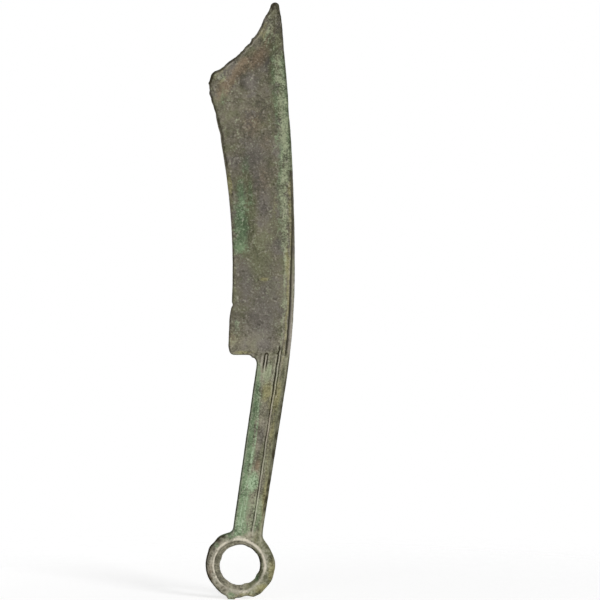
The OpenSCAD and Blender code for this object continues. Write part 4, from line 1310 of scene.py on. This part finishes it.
# Linear colours of the patina, dark and light of each kind
BROWN = (0.072, 0.066, 0.044), (0.225, 0.205, 0.145)
PURPLE = (0.08, 0.071, 0.06), (0.22, 0.198, 0.168)
OLIVE = (0.08, 0.082, 0.04), (0.215, 0.218, 0.128)
TAN = (0.125, 0.118, 0.08), (0.4, 0.37, 0.27)
GREEN = (0.058, 0.1, 0.046), (0.195, 0.29, 0.155)
GREY_GREEN = (0.078, 0.084, 0.052), (0.262, 0.272, 0.19)
BLOOM = (0.17, 0.25, 0.13), (0.4, 0.53, 0.34)
SAGE = (0.11, 0.125, 0.07), (0.365, 0.405, 0.255)
OCHRE = (0.13, 0.12, 0.05), (0.34, 0.315, 0.15)
RED = (0.1, 0.074, 0.044), (0.285, 0.215, 0.138)
# The darkest colour here serves dirt and painted shade alike
PALE, DIRT_AND_SHADE = (0.6, 0.56, 0.46), (0.027, 0.023, 0.011)
# The groove colour serves dirt and painted shade in the grooves
INNER_RED, GROOVE = (0.2, 0.145, 0.085), (0.04, 0.035, 0.014)
# Colour of the bright crests: worn metal and painted highlight
CREST_WEAR_AND_HIGHLIGHT_COLOUR = (0.76, 0.7, 0.57)

# Noises of the patina: size in millimetres, detail and roughness
DRIFT, MOTTLE = (6.0, 4, 0.6), (1.8, 6, 0.75)
GRAIN, STREAK = (0.5, 4, 0.75), (0.6, 3, 0.6)
# Ramps of the noises: start, end and greatest share. Calm kinds have less contrast.
CONTRAST_RAMP, CALM_RAMP = (0.37, 0.63), (0.32, 0.68)
OLIVE_RAMP, PURPLE_RAMP = (0.5, 0.4, 0.75), (0.53, 0.62, 0.75)
OVERLAY_RAMP, SPECK_RAMP, CREST_RAMP = (0.15, 0.8, 0.9), (0.57, 0.7), (0.15, 1.25)
# Greatest share of wear with painted highlight, of bright crests (wear and painted highlight) and of dirt
# with painted shade in the colour
WEAR_AND_HIGHLIGHT_SHARE, CREST_WEAR_AND_HIGHLIGHT_SHARE, DIRT_AND_SHADE_SHARE = 0.7, 0.9, 0.92
# How much of the mottling is drawn out along the handle, and how long those streaks are for their width
HANDLE_STREAKS, STREAK_SHARE = 0.6, 0.12
# Kinds that lie over the base, from the lowest: mask, raggedness of its edge, shades, and whether it is calm
OVERLAYS = [
    ("purple", 1.6, PURPLE, True), ("olive", 1.8, OLIVE, True), ("red", 1.8, RED, True),
    ("ochre", 1.8, OCHRE, False), ("green", 2.6, GREEN, False), ("sage", 3.0, SAGE, False),
    ("bloom", 3.0, BLOOM, False),
]
# Thin lines along the groove beside a rim: distance from it, half width, mask, colour. The dark ones are
# dirt and painted shade in the grooves
THIN_LINES = [
    (INNER_LINE, 0.1, "groove_inner", INNER_RED),
    (INNER_GROOVE, 0.04, "groove_inner", GROOVE),
    (0, 0.08, "groove", GROOVE),
]
BUMP_STRENGTH, BUMP_HEIGHT = 0.6, 0.12 * MM


def mottling(g, streaks):
    """Three noises from coarse to fine: drift, mottle and grain."""
    place = g.vector("SCALE", (0, g.place()), ("Scale", 1 / MM))[0]
    drift, mottle, grain = (g.noise(place, *kind) for kind in (DRIFT, MOTTLE, GRAIN))
    if streaks:
        sockets = [("Vector", place), ("Angle", -back_lean)]
        upright = g.add("ShaderNodeVectorRotate", sockets, rotation_type="Y_AXIS").outputs[0]
        drawn_out = g.vector("MULTIPLY", (0, upright), (1, (1, 1, STREAK_SHARE)))[0]
        mottle = g.times_plus(g.noise(drawn_out, *STREAK), streaks, g.times(mottle, 1 - streaks))
    return drift, mottle, grain


def patina_colour(g, drift, mottle, grain, ragged_edge):
    """Brown base with olive and purple drifts, tan where it is worn, and the placed kinds over it."""
    fine = g.times_plus(grain, 0.6, g.times_plus(mottle, 0.4, -0.5))
    lightness = g.times_plus(g.mask("shade"), 0.1, 0.5)
    grainy = g.times_plus(fine, g.mask("lively"), lightness)
    contrast, calm = g.ramp(grainy, *CONTRAST_RAMP), g.ramp(grainy, *CALM_RAMP)
    colour = g.mix(calm, *BROWN)
    colour = g.mix(g.ramp(drift, *OLIVE_RAMP), colour, g.mix(calm, *OLIVE))
    colour = g.mix(g.ramp(drift, *PURPLE_RAMP), colour, g.mix(calm, *PURPLE))
    colour = g.mix(g.mask("tone"), colour, g.mix(contrast, *TAN))
    green_tinge = g.mix(g.mask("tone"), g.mix(contrast, *GREY_GREEN), g.mix(contrast, *SAGE))
    colour = g.mix(g.mask("tinge"), colour, green_tinge)
    for mask, raggedness, shades, is_calm in OVERLAYS:
        share = g.math("ADD", g.mask(mask), g.times_plus(ragged_edge, raggedness, -raggedness / 2))
        over = g.mix(calm if is_calm else contrast, *shades)
        colour = g.mix(g.ramp(share, *OVERLAY_RAMP), colour, over)
    return colour


def bronze(name, streaks):
    """Patinated bronze: its colour, then specks, wear and painted highlight, bright crests of wear and
    painted highlight, dirt and painted shade, and thin lines over it.
    """
    g = Graph(bpy.data.materials.new(name))
    drift, mottle, grain = mottling(g, streaks)
    ragged_edge = g.times_plus(grain, 0.45, g.times(mottle, 0.55))
    colour = patina_colour(g, drift, mottle, grain, ragged_edge)
    colour = g.mix(g.times(g.ramp(grain, *SPECK_RAMP), g.mask("speck")), colour, PALE)
    # Wear and painted highlight over the colour
    colour = g.mix(g.times(g.mask("wear"), WEAR_AND_HIGHLIGHT_SHARE), colour, PALE)
    # Bright crests: wear and painted highlight, which also make the metal shinier
    worn_and_lit = g.times_plus(ragged_edge, 2.4, g.math("ADD", g.mask("crest"), -1.2))
    bright = g.ramp(worn_and_lit, *CREST_RAMP)
    colour = g.mix(g.times(bright, CREST_WEAR_AND_HIGHLIGHT_SHARE), colour, CREST_WEAR_AND_HIGHLIGHT_COLOUR)
    # Dirt and painted shade over the colour
    colour = g.mix(g.times(g.mask("dirt"), DIRT_AND_SHADE_SHARE), colour, DIRT_AND_SHADE)
    for at, half_w, mask, line_colour in THIN_LINES:
        gap = g.math("ADD", g.mask("groove_gap"), g.times_plus(mottle, 0.3, -0.15 - at))
        share = g.times(g.ramp(g.math("ABSOLUTE", gap), half_w + 0.1, half_w), g.mask(mask))
        colour = g.mix(share, colour, line_colour)
    height = g.times_plus(grain, 0.7, mottle)
    bump = [("Strength", BUMP_STRENGTH), ("Distance", BUMP_HEIGHT), ("Height", height)]
    g.shader(
        ("Base Color", colour),
        ("Roughness", g.times_plus(mottle, 0.3, g.times_plus(bright, -0.2, 0.47))),
        ("Specular IOR Level", g.times_plus(g.mask("dirt"), -0.2, 0.25)),
        ("Metallic", g.times(bright, 0.35)),
        ("Normal", g.add("ShaderNodeBump", bump).outputs["Normal"]),
    )
    return g.owner


STREAKS = {"blade_bronze": 0, "handle_bronze": HANDLE_STREAKS, "ring_bronze": 0}
materials = {slot: bronze(slot, streaks) for slot, streaks in STREAKS.items()}

# Pieces


def show(name, data):
    thing = bpy.data.objects.new(name, data)
    bpy.context.scene.collection.objects.link(thing)
    return thing


def make_mesh(name, verts, tris, quads, vertex_normals, vertex_masks, flat_from):
    """Makes a mesh with masks and shared normals. Its faces from a number on keep their own flat normal."""
    used, corners = np.unique(np.concatenate([tris.ravel(), quads.ravel()]), return_inverse=True)
    cells = corners[: tris.size].reshape(-1, 3).tolist() + corners[tris.size :].reshape(-1, 4).tolist()
    # The end of a seam's wall is a triangle, because both faces share the point on the outline
    cells = [list(dict.fromkeys(cell)) for cell in cells]
    mesh = bpy.data.meshes.new(name)
    mesh.from_pydata((verts[used] * MM).tolist(), [], cells)
    mesh.polygons.foreach_set("use_smooth", np.ones(len(cells), bool))
    for key, values in vertex_masks.items():
        attribute = mesh.attributes.new(key, "FLOAT", "POINT")
        attribute.data.foreach_set("value", values[used].astype(np.float32))
    mesh.update()
    corner_vertex = np.empty(len(mesh.loops), np.int32)
    mesh.loops.foreach_get("vertex_index", corner_vertex)
    corner_normals = vertex_normals[used][corner_vertex]
    face_normals = np.empty(len(cells) * 3, np.float32)
    mesh.polygons.foreach_get("normal", face_normals)
    sizes = [len(cell) for cell in cells]
    is_flat = np.repeat(np.arange(len(cells)) >= flat_from, sizes)
    corner_normals[is_flat] = np.repeat(face_normals.reshape(-1, 3), sizes, 0)[is_flat]
    mesh.normals_split_custom_set(corner_normals.tolist())
    return mesh


def make_piece(node, slot, *mesh_parts):
    piece = show(f"{node}_cast", make_mesh(f"{node}_cast", *mesh_parts))
    piece.data.materials.append(materials[slot])
    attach(piece, "root")
    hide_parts(node)


# Surfaces closer than this touch
TOUCHING = 1e-5
own = np.arange(count)
twin = np.where(on_rim, own, own + count)
both_normals = np.concatenate([normals[side] for side in SIDES])
both_masks = {key: np.concatenate([masks[side][key] for side in SIDES]) for key in masks[OBVERSE]}
web_points = np.concatenate([points_of(web[side], side) for side in SIDES])


def seam_edge(edges):
    """True for an edge between two outline points that aren't neighbours on the outline."""
    a, b = edges.T
    step = np.abs(a - b)
    wraps = (step == len(outer) - 1) | (step == len(hole) - 1)
    return (step != 1) & ~wraps


def solid_region(node, slot, which):
    """A region of the casting: its two faces, and a wall wherever it meets the next region."""
    mine = faces[region == which]
    directed = edges_of(mine)
    keys = directed[:, 0] * count + directed[:, 1]
    border = directed[~np.isin(keys, directed[:, 1] * count + directed[:, 0])]
    walls = border[~on_rim[border].all(1) | seam_edge(border)]
    quads = np.stack([walls[:, 1], walls[:, 0], twin[walls[:, 0]], twin[walls[:, 1]]], 1)
    tris = np.concatenate([mine, twin[mine][:, ::-1]])
    make_piece(node, slot, web_points, tris, quads, both_normals, both_masks, len(tris))


def raised_piece(node, slot, side, keep):
    """What stands on the web of one face: its finished top, closed by the web's surface below it."""
    lifted = keep & (full[side] - web[side] > TOUCHING)
    mine = turned(side)[lifted[faces].any(1)]
    top = points_of(np.where(lifted, full[side], web[side]), side)
    verts = np.concatenate([top, points_of(web[side], side)])
    below = np.where(lifted, own + count, own)
    tris = np.concatenate([mine, below[mine][:, ::-1]])
    shared = np.concatenate([normals[side], normals[side]])
    doubled = {key: np.concatenate([mask, mask]) for key, mask in masks[side].items()}
    make_piece(node, slot, verts, tris, np.zeros((0, 4), int), shared, doubled, len(mine))


SOLIDS = [
    ("blade", "blade_bronze", BLADE),
    ("handle", "handle_bronze", HANDLE),
    ("ring", "ring_bronze", RING),
    ("casting_stub", "ring_bronze", STUB),
]
obverse_rim_part = (from_back < 2.6) & (Z > BASE_H - 0.3)
reverse_rim_part = (from_back < 2.6) & (Z > RIM_END_H - 2.5)
RAISED = [
    ("back_rim_obverse", "blade_bronze", OBVERSE, obverse_rim_part),
    ("back_rim_reverse", "blade_bronze", REVERSE, reverse_rim_part),
    ("handle_ribs_obverse", "handle_bronze", OBVERSE, ~obverse_rim_part),
    ("handle_ribs_reverse", "handle_bronze", REVERSE, ~reverse_rim_part),
]
for solid in SOLIDS:
    solid_region(*solid)
for raised in RAISED:
    raised_piece(*raised)

# Stage

WHITE = (1, 1, 1, 1)
FLOOR_WHITE, FLOOR_GLOW = (0.93, 0.93, 0.93, 1), 0.42
FLOOR_R, FLOOR_FADE_R, FLOOR_CORNERS = 0.2, 0.06, 96
AMBIENT = 0.15
# Lamps: name, place, size and power. Each face has a pair.
LAMPS = [
    ("key", (0.5, -0.7, 0.25), 0.3, 5.2),
    ("fill", (-0.35, -0.75, 0.15), 0.5, 1.2),
    ("back_key", (-0.5, 0.7, 0.25), 0.3, 5.2),
    ("back_fill", (0.35, 0.75, 0.15), 0.5, 1.2),
]
# The photograph: its scale, its size, and where the middle of the ring's hole is in it
PX_PER_MM, PHOTO_PX, HOLE_PX = 3.7, 600, vec(239.82, 564.85)
LENS, SENSOR, CLIP_START, CLIP_END = 150, 36, 0.01, 20


def floor_material():
    """White that glows a little for the camera alone, and fades out towards the floor's rim."""
    g = Graph(bpy.data.materials.new("floor_white"))
    seen = g.add("ShaderNodeLightPath").outputs["Is Camera Ray"]
    white = g.shader(
        ("Base Color", FLOOR_WHITE),
        ("Roughness", 0.9),
        ("Specular IOR Level", 0.1),
        ("Emission Color", WHITE),
        ("Emission Strength", g.times(seen, FLOOR_GLOW)),
    )
    from_centre = g.vector("LENGTH", (0, g.place()))["Value"]
    clear = g.add("ShaderNodeBsdfTransparent")
    g.blend(g.ramp(from_centre, FLOOR_FADE_R, FLOOR_R), white, clear, "Material Output")
    return g.owner


def floor():
    mesh = bpy.data.meshes.new("floor")
    turns = np.linspace(0, FULL_TURN, FLOOR_CORNERS, endpoint=False)
    corners = [(FLOOR_R * math.cos(t), FLOOR_R * math.sin(t), 0) for t in turns]
    mesh.from_pydata(corners, [], [list(range(FLOOR_CORNERS))])
    mesh.materials.append(floor_material())
    thing = show("floor", mesh)
    thing.location = (0, 0, cad_low.z)


def lamp(name, place, size, power):
    """Disk of light that faces the middle of the coin."""
    data = bpy.data.lights.new(name, "AREA")
    data.shape = "DISK"
    data.size = size
    data.energy = power
    thing = show(name, data)
    thing.location = place
    thing.rotation_euler = ((cad_low + cad_high) / 2 - Vector(place)).to_track_quat("-Z", "Y").to_euler()


def world():
    """White to the camera, and a dim white light to everything else."""
    made = bpy.data.worlds.new("studio")
    bpy.context.scene.world = made
    g = Graph(made)
    path = g.add("ShaderNodeLightPath").outputs
    seen = g.math("MAXIMUM", path["Is Camera Ray"], path["Is Transmission Ray"])
    shown = g.tree.nodes["Background"]
    g.fill(shown, [("Color", WHITE)])
    dim = g.add("ShaderNodeBackground", [("Color", WHITE), ("Strength", AMBIENT)])
    g.blend(seen, dim, shown, "World Output")


def camera():
    """Faces the obverse squarely, so that it fills the left of the picture as in the photograph."""
    width = PHOTO_PX / PX_PER_MM * MM
    middle = (vec(PHOTO_PX / 2, PHOTO_PX / 2) - HOLE_PX) / PX_PER_MM * MM
    data = bpy.data.cameras.new("camera")
    data.lens, data.sensor_width = LENS, SENSOR
    data.clip_start, data.clip_end = CLIP_START, CLIP_END
    thing = show("camera", data)
    thing.location = (middle[0], -width * LENS / SENSOR, -middle[1])
    thing.rotation_euler = (math.pi / 2, 0, 0)
    bpy.context.scene.camera = thing


floor()
for settings in LAMPS:
    lamp(*settings)
world()
camera()
bpy.context.scene.view_settings.view_transform = "Standard"
